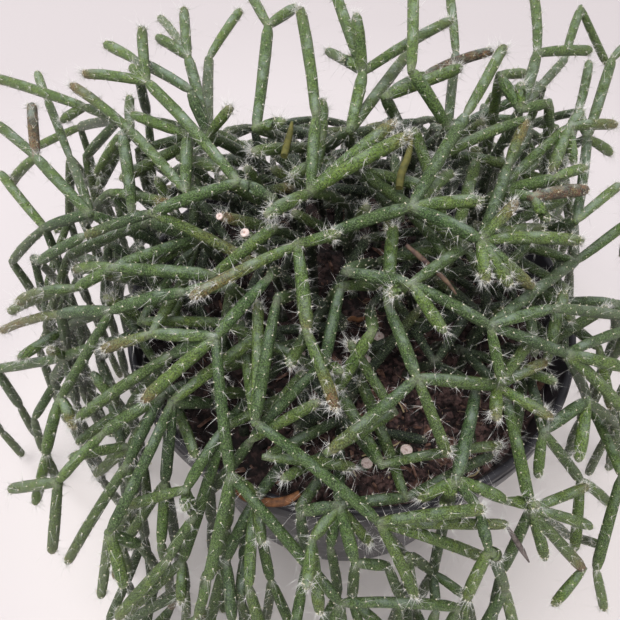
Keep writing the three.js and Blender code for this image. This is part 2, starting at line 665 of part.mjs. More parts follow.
// ---- The pot ----
const SHOULDER = POT.height - POT.lipHeight;
function potProfile() {
  const { height, rimRadius, footRadius, shoulderRadius, lipWall, wall, floor, edge } = POT;
  return [
    [0, 0],
    [footRadius - edge, 0],
    [footRadius, edge],
    [shoulderRadius, SHOULDER],
    [rimRadius - edge / 2, SHOULDER + edge / 2],
    [rimRadius, SHOULDER + edge],
    [rimRadius, height - edge],
    [rimRadius - edge / 2, height],
    [rimRadius - lipWall + edge / 2, height],
    [rimRadius - lipWall, height - edge],
    [shoulderRadius - wall, SHOULDER],
    [footRadius - wall, floor],
    [0, floor],
  ].map(([r, z]) => new THREE.Vector2(r, z));
}
function potGeometry() {
  let pot = solid(new THREE.LatheGeometry(potProfile(), POT.sides).rotateX(Math.PI / 2));
  for (let n = 0; n < POT.drains; n++) {
    const turn = (n * 2 * Math.PI) / POT.drains;
    const x = POT.drainRing * Math.cos(turn);
    const y = POT.drainRing * Math.sin(turn);
    const drain = new THREE.CylinderGeometry(POT.drainRadius, POT.drainRadius, 3 * POT.floor, POT.drainSides);
    pot = pot.subtract(solid(drain.rotateX(Math.PI / 2).translate(x, y, POT.floor / 2)));
  }
  return geometryOf(pot);
}

// ---- The soil ----
function soilHeight(x, y) {
  const [alongX, alongY, onSlant] = SOIL.waves.map((length) => (2 * Math.PI) / length);
  const lumps = Math.sin(alongX * x) * Math.cos(alongY * y) + SOIL.slant * Math.sin(onSlant * (x - y));
  const toEdge = Math.pow(Math.hypot(x, y) / POT.shoulderRadius, 6);
  return SOIL.level + (1 - toEdge) * SOIL.lump * (lumps / (1 + SOIL.slant)) - toEdge * SOIL.edgeDrop;
}
// How far out the soil reaches at a height: up to the flats of the many-sided wall, less the gap.
function soilRadius(z) {
  const slope = (POT.shoulderRadius - POT.footRadius) / (SHOULDER - POT.floor);
  const wallRadius = POT.footRadius - POT.wall + slope * (z - POT.floor);
  return wallRadius * Math.cos(Math.PI / POT.sides) - SOIL.wallGap;
}
// The points of one ring of the soil, numbered from the middle. Odd rings stand half a sector ahead.
function soilRing(ring, radius, heightAt) {
  return Array.from({ length: SOIL.sectors }, (_, k) => {
    const turn = ((k + 0.5 * (ring % 2)) * 2 * Math.PI) / SOIL.sectors;
    const x = radius * Math.cos(turn);
    const y = radius * Math.sin(turn);
    return vec(x, y, heightAt(x, y));
  });
}
function soilPoints() {
  const top = soilRadius(SOIL.level);
  const bottom = POT.floor + SOIL.wallGap;
  const points = [vec(0, 0, soilHeight(0, 0))];
  for (let ring = 1; ring < SOIL.rings; ring++) {
    points.push(...soilRing(ring, (top * ring) / SOIL.rings, soilHeight));
  }
  points.push(...soilRing(SOIL.rings, top, () => SOIL.level - SOIL.edgeDrop));
  points.push(...soilRing(SOIL.rings + 1, soilRadius(bottom), () => bottom));
  points.push(vec(0, 0, bottom));
  return points;
}
function soilFaces() {
  const { rings, sectors } = SOIL;
  const at = (ring, k) => 1 + (ring - 1) * sectors + (k % sectors);
  const under = 1 + (rings + 1) * sectors;
  const faces = [];
  for (let k = 0; k < sectors; k++) {
    faces.push(0, at(1, k), at(1, k + 1));
    faces.push(under, at(rings + 1, k + 1), at(rings + 1, k));
    for (let ring = 1; ring <= rings; ring++) {
      const ahead = ring % 2;
      const [a, b] = [at(ring, k), at(ring, k + 1)];
      const [c, d] = [at(ring + 1, k + ahead), at(ring + 1, k + 1 + ahead)];
      faces.push(...(ahead ? [a, c, b, c, d, b] : [a, c, b, b, c, d]));
    }
  }
  return faces;
}
function soilGeometry() {
  let soil = manifoldOf(soilPoints().flatMap((p) => p.toArray()), soilFaces());
  const depth = SOCKET.depth + SOCKET.under + SOCKET.over;
  for (const [x, y] of [...stems.map(({ foot }) => [foot.x, foot.y]), ...STUBS.map(({ root }) => root)]) {
    const socket = new THREE.CylinderGeometry(SOCKET.radius, SOCKET.radius, depth, SOCKET.sides)
      .rotateX(Math.PI / 2)
      .translate(x, y, SOIL.level + SOCKET.over - depth / 2);
    soil = soil.subtract(solid(socket));
  }
  return geometryOf(soil);
}

// ---- The whole plant ----
const PLASTIC = { color: 0x23262c, roughness: 0.45, metalness: 0 };
const PEAT = { color: 0x3a2a22, roughness: 0.95, metalness: 0 };
const GREEN = { color: 0x4f6f45, roughness: 0.55, metalness: 0 };
const CUT_GREEN = { color: 0x6f7f58, roughness: 0.7, metalness: 0 };

const group = new THREE.Group();
function place(name, geometry, finish) {
  const mesh = new THREE.Mesh(geometry, new THREE.MeshStandardMaterial(finish));
  mesh.name = name;
  group.add(mesh);
}
place('pot', potGeometry(), PLASTIC);
place('soil', soilGeometry(), PEAT);
stems.forEach((stem, n) => {
  const number = String(n + 1).padStart(2, '0');
  place(`stem_${number}`, geometryOf(stemSolid(stem)), GREEN);
});
STUBS.forEach((stub, n) => place(`cut_stub_${n + 1}`, geometryOf(stubSolid(stub)), CUT_GREEN));

export default group;
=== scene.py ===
"""A mistletoe cactus (hairy Rhipsalis) in its nursery pot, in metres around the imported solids."""
import math

import bmesh
import bpy
import numpy as np
from mathutils import Matrix, Vector, noise


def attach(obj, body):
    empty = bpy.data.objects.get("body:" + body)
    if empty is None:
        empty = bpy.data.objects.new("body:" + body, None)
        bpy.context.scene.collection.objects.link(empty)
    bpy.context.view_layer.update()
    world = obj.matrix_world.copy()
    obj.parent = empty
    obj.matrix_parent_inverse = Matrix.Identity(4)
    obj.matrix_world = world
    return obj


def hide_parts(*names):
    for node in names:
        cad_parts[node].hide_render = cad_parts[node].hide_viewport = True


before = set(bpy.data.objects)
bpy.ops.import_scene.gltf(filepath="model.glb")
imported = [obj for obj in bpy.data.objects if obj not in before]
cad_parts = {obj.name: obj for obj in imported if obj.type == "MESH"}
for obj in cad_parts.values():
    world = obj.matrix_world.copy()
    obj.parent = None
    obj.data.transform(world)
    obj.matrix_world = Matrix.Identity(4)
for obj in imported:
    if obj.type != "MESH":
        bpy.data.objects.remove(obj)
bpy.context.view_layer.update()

MM = 0.001

# ---- Driving dimensions, in millimetres, as in the solids ----
POT = {
    "height": 100, "rim_radius": 75, "foot_radius": 56, "shoulder_radius": 71.2, "lip_height": 9.5,
    "lip_wall": 2.8, "wall": 1.6, "floor": 2.4, "drains": 6, "drain_radius": 4.5, "drain_ring": 43,
}
SOIL = {"level": 88, "lump": 1.7, "waves": (33, 37, 21), "slant": 0.6, "edge_drop": 1}
SOCKET_DEPTH = 10
STEM = {
    "radius": 2, "collar": 5, "clearance": 4.6, "sibling_gap": 3.9, "crotch": 8, "sample_step": 2.5,
    "foot_samples": 5, "longest": 80,
}
CLEAR = {"pot": 0.6, "wall": 1.2, "table": 1}
MOST_LINKS = {
    "grown": 500, "outer": 560, "front": 640, "front_hanging": 710,
    "back": 770, "back_hanging": 830, "inner": 972,
}
GOLDEN_TURN = math.radians(137.508)

# ---- The crown, and the eye from which the leading stems are laid out ----
CROWN = {"x": -5, "y": 25, "top": 175, "fall": 60, "fall_radius": 105, "fall_power": 2.5}
EYE = np.array([-13.5, -142.0, 277.0])
LOOK_DOWN = math.radians(52.2)
PLANE = 620  # the side of the plane that places are given in, across and down
FOCAL = 672  # how far before the eye that plane lies
NEAREST = 90
FARTHEST = 460
FORWARD = np.array([0, math.cos(LOOK_DOWN), -math.sin(LOOK_DOWN)])
UPWARD = np.array([0, math.sin(LOOK_DOWN), math.cos(LOOK_DOWN)])

# root: where the stem stands in the soil, in mm. hub: its first joint over the soil, across and down.
# arms: each starts at an earlier joint (the hub is 0, later joints count on) and gives its own joints.
LEADERS = [
    {"root": (-14, -8), "hub": (277, 300), "arms": [(0, (255, 422), (379, 522), (508, 524)),
        (2, (492, 561)), (2, (416, 598)), (2, (486, 509))]},
    {"root": (-23, 0), "hub": (270, 277), "arms": [(0, (216, 337), (231, 475), (340, 603), (458, 607)),
        (1, (152, 334), (101, 350)), (1, (172, 355), (77, 419)), (2, (208, 580), (197, 618)),
        (2, (258, 497)), (1, (142, 402))]},
    {"root": (-12, 12), "hub": (297, 245), "arms": [(0, (190, 298)), (0, (341, 233)),
        (0, (307, 332), (337, 412))]},
    {"root": (2, 10), "hub": (325, 236), "arms": [(0, (411, 207), (466, 115), (504, 46)), (1, (484, 201)),
        (1, (480, 240), (508, 165), (527, 119)), (5, (583, 241)), (5, (543, 229)), (5, (486, 284)),
        (5, (511, 287)), (5, (533, 288)), (5, (517, 201)), (1, (452, 172))]},
    {"root": (12, 4), "hub": (346, 272), "arms": [(0, (411, 284), (490, 326), (566, 354), (622, 409)),
        (1, (388, 296)), (1, (467, 246)), (2, (575, 262), (628, 222)), (2, (501, 380)),
        (3, (588, 403), (622, 476), (596, 570), (604, 610)), (3, (628, 330)), (3, (624, 368)),
        (2, (554, 308), (624, 316)), (1, (445, 333))]},
    {"root": (22, 0), "hub": (388, 305), "arms": [(0, (417, 378), (328, 452)),
        (1, (496, 386), (547, 361)), (3, (496, 421)), (3, (553, 419)), (1, (448, 457))]},
    {"root": (-26, 20), "hub": (272, 198), "arms": [(0, (238, 182), (147, 82), (142, 27)), (2, (83, 74)),
        (2, (131, 67)), (1, (152, 213), (85, 236), (40, 262)), (6, (258, 266))]},
    {"root": (-42, 6), "hub": (132, 212), "arms": [(0, (122, 133))]},
    {"root": (-33, 28), "hub": (186, 191), "arms": [(0, (131, 131), (71, 85)),
        (0, (188, 135), (131, 114))]},
    {"root": (5, 22), "hub": (310, 192), "arms": [(0, (397, 121)), (0, (368, 148)), (0, (412, 134)),
        (0, (265, 216)), (0, (334, 160)), (0, (316, 116), (300, 8)), (0, (322, 140), (322, 99))]},
    {"root": (12, 34), "hub": (350, 130), "arms": [(0, (363, 72), (452, 20)), (1, (336, -6)),
        (1, (343, 57)), (0, (413, 47)), (1, (327, 51)), (1, (356, 13)), (0, (324, 150), (253, 152))]},
    {"root": (36, 18), "hub": (498, 192), "arms": [(0, (569, 127), (616, 125)), (1, (582, 111)),
        (0, (555, 178), (586, 168)), (0, (532, 197), (588, 190)), (1, (574, 165)), (1, (552, 172)),
        (6, (548, 222))]},
    {"root": (-10, -14), "hub": (341, 287), "arms": [(0, (325, 362), (342, 373)), (0, (379, 286))]},
    {"root": (8, -10), "hub": (373, 330), "arms": [(0, (336, 392))]},
    {"root": (-18, 38), "hub": (208, 135), "arms": [(0, (188, 57), (184, 8)), (1, (157, 37)),
        (0, (209, 58), (241, 10)), (1, (160, 18)), (0, (190, 90), (137, 61), (105, 44)),
        (0, (232, 106))]},
    {"root": (-46, 24), "hub": (118, 121), "arms": [(0, (85, 107), (-4, 78)), (0, (80, 127), (37, 147)),
        (0, (80, 92), (82, 48)), (1, (62, 121))]},
    {"root": (20, 42), "hub": (385, 97), "arms": [(0, (462, 67)), (0, (425, 75), (493, 51))]},
    {"root": (-8, 47), "hub": (256, 128), "arms": [(0, (268, 26), (250, -6)), (1, (296, 7)),
        (0, (285, 121))]},
    {"root": (31, 46), "hub": (448, 128), "arms": [(0, (456, 53), (449, -12)), (0, (411, 70), (413, -8)),
        (0, (475, 87), (469, 52), (474, -8))]},
    {"root": (44, 34), "hub": (520, 110), "arms": [(0, (537, 53), (533, -8)), (1, (591, 51)),
        (0, (565, 59), (581, 8), (607, 65)), (0, (499, 76)), (7, (525, 74)), (0, (520, 82)),
        (0, (549, 103))]},
    {"root": (56, 14), "hub": (576, 221), "arms": [(0, (587, 138), (612, 59), (632, 40)),
        (1, (578, 112), (589, 61)), (1, (611, 154)), (0, (620, 185))]},
    {"root": (-50, 6), "hub": (90, 214), "arms": [(0, (45, 228), (0, 172)), (1, (-4, 213)),
        (1, (12, 262)), (0, (36, 157), (-5, 123)), (5, (32, 104)), (5, (11, 185)),
        (0, (70, 158), (47, 99), (37, 72))]},
    {"root": (-36, -4), "hub": (200, 238), "arms": [(0, (148, 222), (68, 256), (-4, 266)),
        (0, (113, 268), (76, 288), (10, 312)), (5, (42, 291), (18, 303)), (4, (76, 270), (-4, 280)),
        (0, (120, 281))]},
    {"root": (-30, -14), "hub": (228, 286), "arms": [(0, (184, 292), (111, 311), (61, 397), (75, 430)),
        (2, (60, 314), (2, 331)), (2, (68, 328), (18, 359)), (3, (46, 455), (35, 504))]},
    {"root": (-52, -16), "hub": (118, 340), "arms": [(0, (65, 357), (-4, 369)), (1, (48, 350)),
        (0, (99, 358), (115, 404)), (4, (122, 446)), (5, (92, 372))]},
    {"root": (-40, -30), "hub": (163, 396), "arms": [(0, (127, 465), (67, 563)),
        (1, (53, 550), (57, 628)), (3, (32, 581)), (0, (130, 446), (69, 458), (-4, 483)),
        (0, (103, 434), (58, 482), (10, 489)), (3, (4, 601)), (10, (52, 552))]},
    {"root": (-26, -32), "hub": (224, 428), "arms": [(0, (186, 489), (128, 506)), (1, (194, 517)),
        (0, (182, 561), (180, 605)), (4, (118, 619)), (3, (168, 560)), (0, (204, 520), (196, 576)),
        (1, (185, 512))]},
    {"root": (-34, -44), "hub": (172, 402), "arms": [(0, (165, 482), (161, 545)),
        (0, (109, 533), (101, 597)), (3, (22, 516)), (2, (172, 607)), (3, (140, 545), (158, 575)),
        (3, (124, 588))]},
    {"root": (28, -14), "hub": (505, 396), "arms": [(0, (530, 509), (583, 569)), (1, (588, 486)),
        (1, (568, 536)), (2, (552, 606)), (1, (592, 527)), (1, (545, 560)), (4, (600, 545))]},
    {"root": (18, -24), "hub": (476, 388), "arms": [(0, (456, 479), (433, 573), (466, 597)),
        (1, (478, 508), (489, 551), (466, 600)), (1, (506, 501)), (5, (505, 590)), (1, (442, 508)),
        (1, (418, 500)), (2, (436, 612)), (2, (408, 556)), (5, (500, 558)), (7, (540, 505))]},
    {"root": (52, -14), "hub": (543, 432), "arms": [(0, (580, 480), (574, 551)), (0, (587, 400)),
        (0, (538, 478)), (3, (578, 462)), (1, (610, 505))]},
    {"root": (-4, -44), "hub": (338, 505), "arms": [(0, (355, 563), (352, 600)), (0, (405, 498)),
        (0, (312, 540), (240, 614)), (4, (320, 615)), (1, (388, 566)), (0, (330, 548), (338, 594)),
        (4, (306, 590)), (0, (300, 512)), (7, (402, 600)), (0, (372, 545))]},
    {"root": (-22, -54), "hub": (255, 500), "arms": [(0, (249, 588)), (0, (226, 560), (232, 622)),
        (0, (271, 581)), (0, (262, 545)), (2, (205, 575)), (0, (243, 560), (240, 600))]},
]
STUBS = [
    {"root": (6, -20), "height": 17, "lean": (2, 1)},
    {"root": (-14, -27), "height": 13, "lean": (-1, 3)},
    {"root": (13, -52), "height": 7, "lean": (2, -1)},
    {"root": (36, -48), "height": 8, "lean": (-2, 2)},
    {"root": (30, 8), "height": 12, "lean": (3, 2)},
]


class Draws:
    """The "minimal standard" random numbers, which give the solids and this dressing the same plant."""

    def __init__(self, seed):
        self.seed = seed

    def __call__(self, low=0.0, high=1.0):
        self.seed = self.seed * 16807 % 2147483647
        return low + (high - low) * self.seed / 2147483647


draw = Draws(20481)


def crown_height(x, y):
    out = np.hypot(x - CROWN["x"], y - CROWN["y"]) / CROWN["fall_radius"]
    return CROWN["top"] - CROWN["fall"] * np.power(out, CROWN["fall_power"])


def along_sight(place, depth):
    across, down = place
    right = (depth * (across - PLANE / 2)) / FOCAL
    up = (depth * (PLANE / 2 - down)) / FOCAL
    return EYE + FORWARD * depth + UPWARD * up + np.array([right, 0, 0])


def crown_depth(place):
    """How far along a line of sight the crown lies."""
    for depth in range(NEAREST, FARTHEST):
        p = along_sight(place, depth)
        if p[2] <= crown_height(p[0], p[1]):
            return depth
    return FARTHEST


# ---- Growing the stems, by the solids' own rule ----
class Link:
    """One finger-long piece of a stem, from joint to joint."""

    def __init__(self, start, end):
        self.start, self.end = start, end
        self.reach = math.sqrt(((start - end) ** 2).sum())

    def at(self, t):
        return self.start + (self.end - self.start) * t

    def samples(self):
        count = math.ceil(self.reach / STEM["sample_step"])
        return self.at(np.arange(count + 1)[:, None] / count)


class Stem:
    def __init__(self, foot, collar):
        self.foot, self.joints, self.links = foot, [collar], []


class Taken:
    """Middles of everything placed: where, and the stem, joints and distance from the joint of each."""

    def __init__(self, most):
        self.places = np.zeros((most, 3))
        self.marks = np.zeros((most, 3), int)  # stem, from joint, to joint
        self.away = np.zeros(most)
        self.count = 0

    def add(self, places, stem, start, to, away):
        end = self.count + len(places)
        self.places[self.count:end] = places
        self.marks[self.count:end] = (stem, start, to)
        self.away[self.count:end] = away
        self.count = end

    def near(self, points, reach):
        low, high = points.min(0) - reach, points.max(0) + reach
        here = self.places[:self.count]
        return np.flatnonzero(((here > low) & (here < high)).all(1))


stems = []
taken = Taken(30000)
OUTSIDE = POT["rim_radius"] + STEM["radius"] + CLEAR["pot"]
INSIDE = POT["shoulder_radius"] - POT["wall"] - STEM["radius"] - CLEAR["wall"]
OVER_RIM = POT["height"] + STEM["radius"] + CLEAR["pot"]
OVER_SOIL = SOIL["level"] + SOIL["lump"] + STEM["radius"] + CLEAR["pot"]


def link_count():
    return sum(len(stem.links) for stem in stems)


def take_stubs():
    for stub in STUBS:
        for step in range(int(stub["height"] / STEM["sample_step"]) + 1):
            up = step * STEM["sample_step"]
            share = up / stub["height"]
            x, y = (r + l * share for r, l in zip(stub["root"], stub["lean"]))
            taken.add([[x, y, SOIL["level"] + up]], -1, -1, -1, 0)


def clear_of_pot(points):
    x, y, z = points.T
    out = np.hypot(x, y)
    beside = (out > OUTSIDE) | ((out < INSIDE) & (z > OVER_SOIL))
    return bool((~(z < STEM["radius"] + CLEAR["table"]) & ((z > OVER_RIM) | beside)).all())


def free_of_stems(link, stem, start):
    """True if a link is clear of all that is placed. Links that share its joint are only kept apart where
    both have left the joint's crotch behind."""
    points = link.samples()
    near = taken.near(points, STEM["clearance"])
    if not len(near):
        return True
    marks, away = taken.marks[near], taken.away[near]
    difference = points[:, None, :] - taken.places[near][None]
    apart = (difference[..., 0] ** 2 + difference[..., 1] ** 2) + difference[..., 2] ** 2
    beyond = np.sqrt(((points - link.start) ** 2).sum(1)) > STEM["crotch"]
    shares = (marks[:, 0] == stem) & ((marks[:, 1] == start) | (marks[:, 2] == start))
    sibling = (marks[:, 1] == start) & (away > STEM["crotch"])
    least = np.where(shares, STEM["sibling_gap"], STEM["clearance"])
    counts = ~shares[None] | (beyond[:, None] & sibling[None])
    return not bool((counts & (apart < least * least)).any())


def is_free(link, stem, start):
    return clear_of_pot(link.samples()) and free_of_stems(link, stem, start)


def add_link(stem, link, start):
    owner = stems[stem]
    owner.joints.append(link.end)
    link.from_joint, link.to_joint = start, len(owner.joints) - 1
    owner.links.append(link)
    points = link.samples()
    taken.add(points, stem, start, link.to_joint, np.sqrt(((points - link.start) ** 2).sum(1)))
    return link.to_joint


def drop_link(stem):
    link = stems[stem].links.pop()
    stems[stem].joints.pop()
    taken.count -= len(link.samples())


KNEE = {"tries": 40, "across": 0.4, "up": 0.62, "spread": 2.4, "lift": 0.4}
COLLAR_SAMPLES = 2


def knee_of(collar, hub, n):
    turn = n * GOLDEN_TURN
    out = KNEE["spread"] * math.sqrt(n)
    return np.array([
        collar[0] + KNEE["across"] * (hub[0] - collar[0]) + out * math.cos(turn),
        collar[1] + KNEE["across"] * (hub[1] - collar[1]) + out * math.sin(turn),
        collar[2] + KNEE["up"] * (hub[2] - collar[2]) + KNEE["lift"] * out * math.sin(2 * turn),
    ])


def reach_hub(stem, hub):
    collar = stems[stem].joints[0]
    for n in range(KNEE["tries"]):
        knee = knee_of(collar, hub, n)
        lower = Link(collar, knee)
        if not clear_of_pot(lower.samples()[COLLAR_SAMPLES:]) or not free_of_stems(lower, stem, 0):
            continue
        knee_joint = add_link(stem, lower, 0)
        upper = Link(knee, hub)
        if is_free(upper, stem, knee_joint):
            return add_link(stem, upper, knee_joint)
        drop_link(stem)
    return None


def start_stem(x, y, hubs):
    stem = len(stems)
    foot = np.array([x, y, SOIL["level"] - SOCKET_DEPTH], float)
    collar = np.array([x, y, SOIL["level"] + STEM["collar"]], float)
    stems.append(Stem(foot, collar))
    before = taken.count
    shares = np.arange(STEM["foot_samples"] + 1)[:, None] / STEM["foot_samples"]
    taken.add(foot + (collar - foot) * shares, stem, -1, 0, 0)
    for hub in hubs:
        joint = reach_hub(stem, hub)
        if joint is not None:
            return joint
    stems.pop()
    taken.count = before
    return None


# ---- The leading stems ----
LAYERS = (0, 4, 8, 12, 16, 20, 25, 30, 36, 42, 50, -5, -10, -16)
HUB_UNDER = 4
STANDS_OUT = {"above": 190, "past": 6, "slope": 0.42}
planned_places = {}  # the place in the plane that each laid joint was planned at: (stem, joint)


def lay_joint(stem, start_joint, place):
    start = stems[stem].joints[start_joint]
    start_depth = float((start - EYE) @ FORWARD)
    depth = crown_depth(place)
    if place[1] < STANDS_OUT["above"]:
        sideways = math.sqrt(((along_sight(place, start_depth) - start) ** 2).sum())
        depth = min(depth, start_depth + STANDS_OUT["past"] + STANDS_OUT["slope"] * sideways)
    for layer in LAYERS:
        link = Link(start, along_sight(place, depth + layer))
        if link.reach < STEM["longest"] and is_free(link, stem, start_joint):
            joint = add_link(stem, link, start_joint)
            planned_places[stem, joint] = place
            return joint
    return None


def lay_stem(leader):
    surface = crown_depth(leader["hub"]) + HUB_UNDER
    hub_joint = start_stem(*leader["root"], [along_sight(leader["hub"], surface + layer) for layer in LAYERS])
    if hub_joint is None:
        return
    laid = [hub_joint]
    for first, *places in leader["arms"]:
        joint = laid[first]
        for place in places:
            if joint is not None:
                joint = lay_joint(len(stems) - 1, joint, place)
            laid.append(joint)


# ---- The filling stems ----
FILL = {
    "stems": 20, "root_spread": 61, "root_gap": 8.5, "root_tries": 900, "hub_tries": 6,
    "hub_reach": (8, 26), "hub_height": (20, 50), "heading_swing": 28, "start_pitch": 24,
    "under": 3, "low_front": 545, "over": 8, "open_x": 22, "open_y": -44, "open_radius": 17,
    "widest": 150, "most_links": 34, "tries": 12, "free_start": 4,
}
OPEN_VIEW = (
    (0, 620, 0, 80), (150, 470, 80, 118), (575, 620, 150, 300), (0, 110, 490, 620), (520, 620, 480, 620),
)
FORK = {
    "one": 0.22, "two": 0.72, "spreads": ((0,), (-27, 27), (-42, 0, 42)), "swing": 16, "outward": 0.3,
    "reach": (21, 40), "within": (0, 26), "beyond": (16, 56),
    "front": 78, "back": 58, "back_y": 35, "steepest": -84,
}
OUTER = {"from": 70, "to": FILL["widest"], "sweep": (-65, 65), "pitch": (-82, -18), "rounds": 4}
FRONT = {
    "from": 45, "to": 132, "sweep": (-60, 60), "pitch": (-84, -10), "rounds": 4,
    "seen": (120, 510, 400, 700),
}
BACK = {
    "from": 48, "to": 132, "sweep": (-60, 60), "pitch": (-88, -30), "rounds": 4,
    "seen": (60, 600, 60, 220),
}
INNER = {"from": 0, "to": 74, "sweep": (-180, 180), "pitch": (-14, 40), "rounds": 4}
HANGING = {"middle": 25, "low": 22, "out": 60}
MOST_FROM_JOINT = 3


def seen_at(points):
    ray = points - EYE
    scale = FOCAL / (ray @ FORWARD)
    return PLANE / 2 + scale * ray[..., 0], PLANE / 2 - scale * (ray @ UPWARD)


def is_within(place, part):
    left, right, top, bottom = part
    across, down = place
    return (across > left) & (across < right) & (down > top) & (down < bottom)


def in_view(points):
    return is_within(seen_at(points), (0, PLANE, 0, PLANE))


def over_open_soil(x, y):
    return np.hypot(x - FILL["open_x"], y - FILL["open_y"]) < FILL["open_radius"]


def fill_allows(points):
    """True if filling stems may pass here: mostly under the crown, and not where the plant stands open."""
    x, y, z = points.T
    place = seen_at(points)
    over = np.where(place[1] > FILL["low_front"], FILL["over"], -FILL["under"])
    top = crown_height(x, y) + np.where(in_view(points), over, 0)
    is_open = np.any([is_within(place, part) for part in OPEN_VIEW], 0)
    beside = np.hypot(x, y) < FILL["widest"]
    return bool(((z < top) & ~over_open_soil(x, y) & ~is_open & beside).all())


def child_link(start, heading, pitch):
    reach = draw(*FORK["reach"])
    flat = reach * math.cos(pitch)
    step = np.array([flat * math.cos(heading), flat * math.sin(heading), reach * math.sin(pitch)])
    return Link(start, step + start)


def fits(link, stem, joint):
    return fill_allows(link.samples()[FILL["free_start"]:]) and is_free(link, stem, joint)


def turn_between(a, b):
    return math.atan2(math.sin(b - a), math.cos(b - a))


def grow_child(place, spread, droop):
    stem, joint, heading, pitch = place
    x, y, _ = stems[stem].joints[joint]
    outward = FORK["outward"] * turn_between(heading, math.atan2(y, x))
    for _ in range(FILL["tries"]):
        turned = heading + outward + math.radians(spread + draw(-FORK["swing"], FORK["swing"]))
        tilted = max(pitch - math.radians(draw(*droop)), math.radians(FORK["steepest"]))
        link = child_link(stems[stem].joints[joint], turned, tilted)
        if fits(link, stem, joint):
            return [(stem, add_link(stem, link, joint), turned, tilted)]
    return []


def fork(place):
    x, y, _ = joint_of(place)
    pick = draw()
    spreads = FORK["spreads"][0 if pick < FORK["one"] else 1 if pick < FORK["two"] else 2]
    is_beyond = math.hypot(x, y) > (FORK["back"] if y > FORK["back_y"] else FORK["front"])
    droop = FORK["beyond"] if is_beyond else FORK["within"]
    return [tip for spread in spreads for tip in grow_child(place, spread, droop)]


def joint_of(place):
    return stems[place[0]].joints[place[1]]


def from_back(places):
    return sorted(places, key=lambda place: -joint_of(place)[1])


def from_front(places):
    return sorted(places, key=lambda place: joint_of(place)[1])


def end_of_link(link, stem):
    d = link.end - link.start
    return stem, link.to_joint, math.atan2(d[1], d[0]), math.asin(d[2] / math.sqrt((d * d).sum()))


def leading_ends():
    """The leading stems' tips that are out of view, and their forks."""
    tips, forks = [], []
    for number, stem in enumerate(stems):
        bearing = {link.from_joint for link in stem.links}
        for link in stem.links:
            if link.to_joint in bearing:
                forks.append(end_of_link(link, number))
            elif not in_view(link.end):
                tips.append(end_of_link(link, number))
    return tips, forks


def start_fill_stem(n, roots, tips):
    out = FILL["root_spread"] * math.sqrt(draw(0.08, 1))
    turn = n * GOLDEN_TURN
    x, y = out * math.cos(turn), out * math.sin(turn)
    if over_open_soil(x, y) or any(math.hypot(r[0] - x, r[1] - y) < FILL["root_gap"] for r in roots):
        return
    heading = turn + math.radians(draw(-FILL["heading_swing"], FILL["heading_swing"]))
    hubs = []
    for _ in range(FILL["hub_tries"]):
        reach = draw(*FILL["hub_reach"])
        height = SOIL["level"] + draw(*FILL["hub_height"])
        hubs.append(np.array([x + reach * math.cos(heading), y + reach * math.sin(heading), height]))
    joint = start_stem(x, y, [hub for hub in hubs if fill_allows(hub[None])])
    if joint is not None:
        roots.append((x, y))
        tips.append((len(stems) - 1, joint, heading, math.radians(FILL["start_pitch"])))


def grow_tips(tips, most):
    while tips and link_count() < most:
        tip = tips.pop(0)
        if len(stems[tip[0]].links) < FILL["most_links"]:
            tips.extend(fork(tip))


def bears_side_link(place, kind):
    stem, joint = place
    start = joint_of(place)
    grown = sum(link.from_joint == joint for link in stems[stem].links)
    is_seen = "seen" not in kind or is_within(seen_at(start), kind["seen"])
    return kind["from"] < math.hypot(start[0], start[1]) < kind["to"] and grown < MOST_FROM_JOINT and is_seen


def side_link(place, kind):
    stem, joint = place
    start = joint_of(place)
    for _ in range(FILL["tries"]):
        heading = math.atan2(start[1], start[0]) + math.radians(draw(*kind["sweep"]))
        link = child_link(start, heading, math.radians(draw(*kind["pitch"])))
        if fits(link, stem, joint):
            add_link(stem, link, joint)
            return


def add_side_links(kind, most, order):
    for _ in range(kind["rounds"]):
        places = [(number, link.to_joint) for number, stem in enumerate(stems) for link in stem.links]
        for place in order(places):
            if link_count() < most and bears_side_link(place, kind):
                side_link(place, kind)


def hanging_tips(is_at_front):
    """The bare ends outside the rim, all but the planned ones, which still have room to hang further."""
    tips = []
    for number, stem in enumerate(stems):
        bearing = {link.from_joint for link in stem.links}
        for link in stem.links:
            is_bare = link.to_joint not in bearing and (number, link.to_joint) not in planned_places
            x, y, z = link.end
            is_hanging = z > HANGING["low"] and math.hypot(x, y) > HANGING["out"]
            if is_bare and is_hanging and (y < HANGING["middle"]) == is_at_front:
                tips.append(end_of_link(link, number))
    return from_front(tips)


def grow_solid_links():
    """Every link of the solids, in the order in which they were drawn."""
    take_stubs()
    for leader in LEADERS:
        lay_stem(leader)
    tips, forks = leading_ends()
    roots = [entry["root"] for entry in LEADERS + STUBS]
    all_stems = len(stems) + FILL["stems"]
    for n in range(1, FILL["root_tries"]):
        if len(stems) < all_stems:
            start_fill_stem(n, roots, tips)
    grow_tips(tips + from_back(forks), MOST_LINKS["grown"])
    add_side_links(OUTER, MOST_LINKS["outer"], from_back)
    add_side_links(FRONT, MOST_LINKS["front"], from_front)
    grow_tips(hanging_tips(True), MOST_LINKS["front_hanging"])
    add_side_links(BACK, MOST_LINKS["back"], from_back)
    grow_tips(hanging_tips(False), MOST_LINKS["back_hanging"])
    add_side_links(INNER, MOST_LINKS["inner"], from_front)


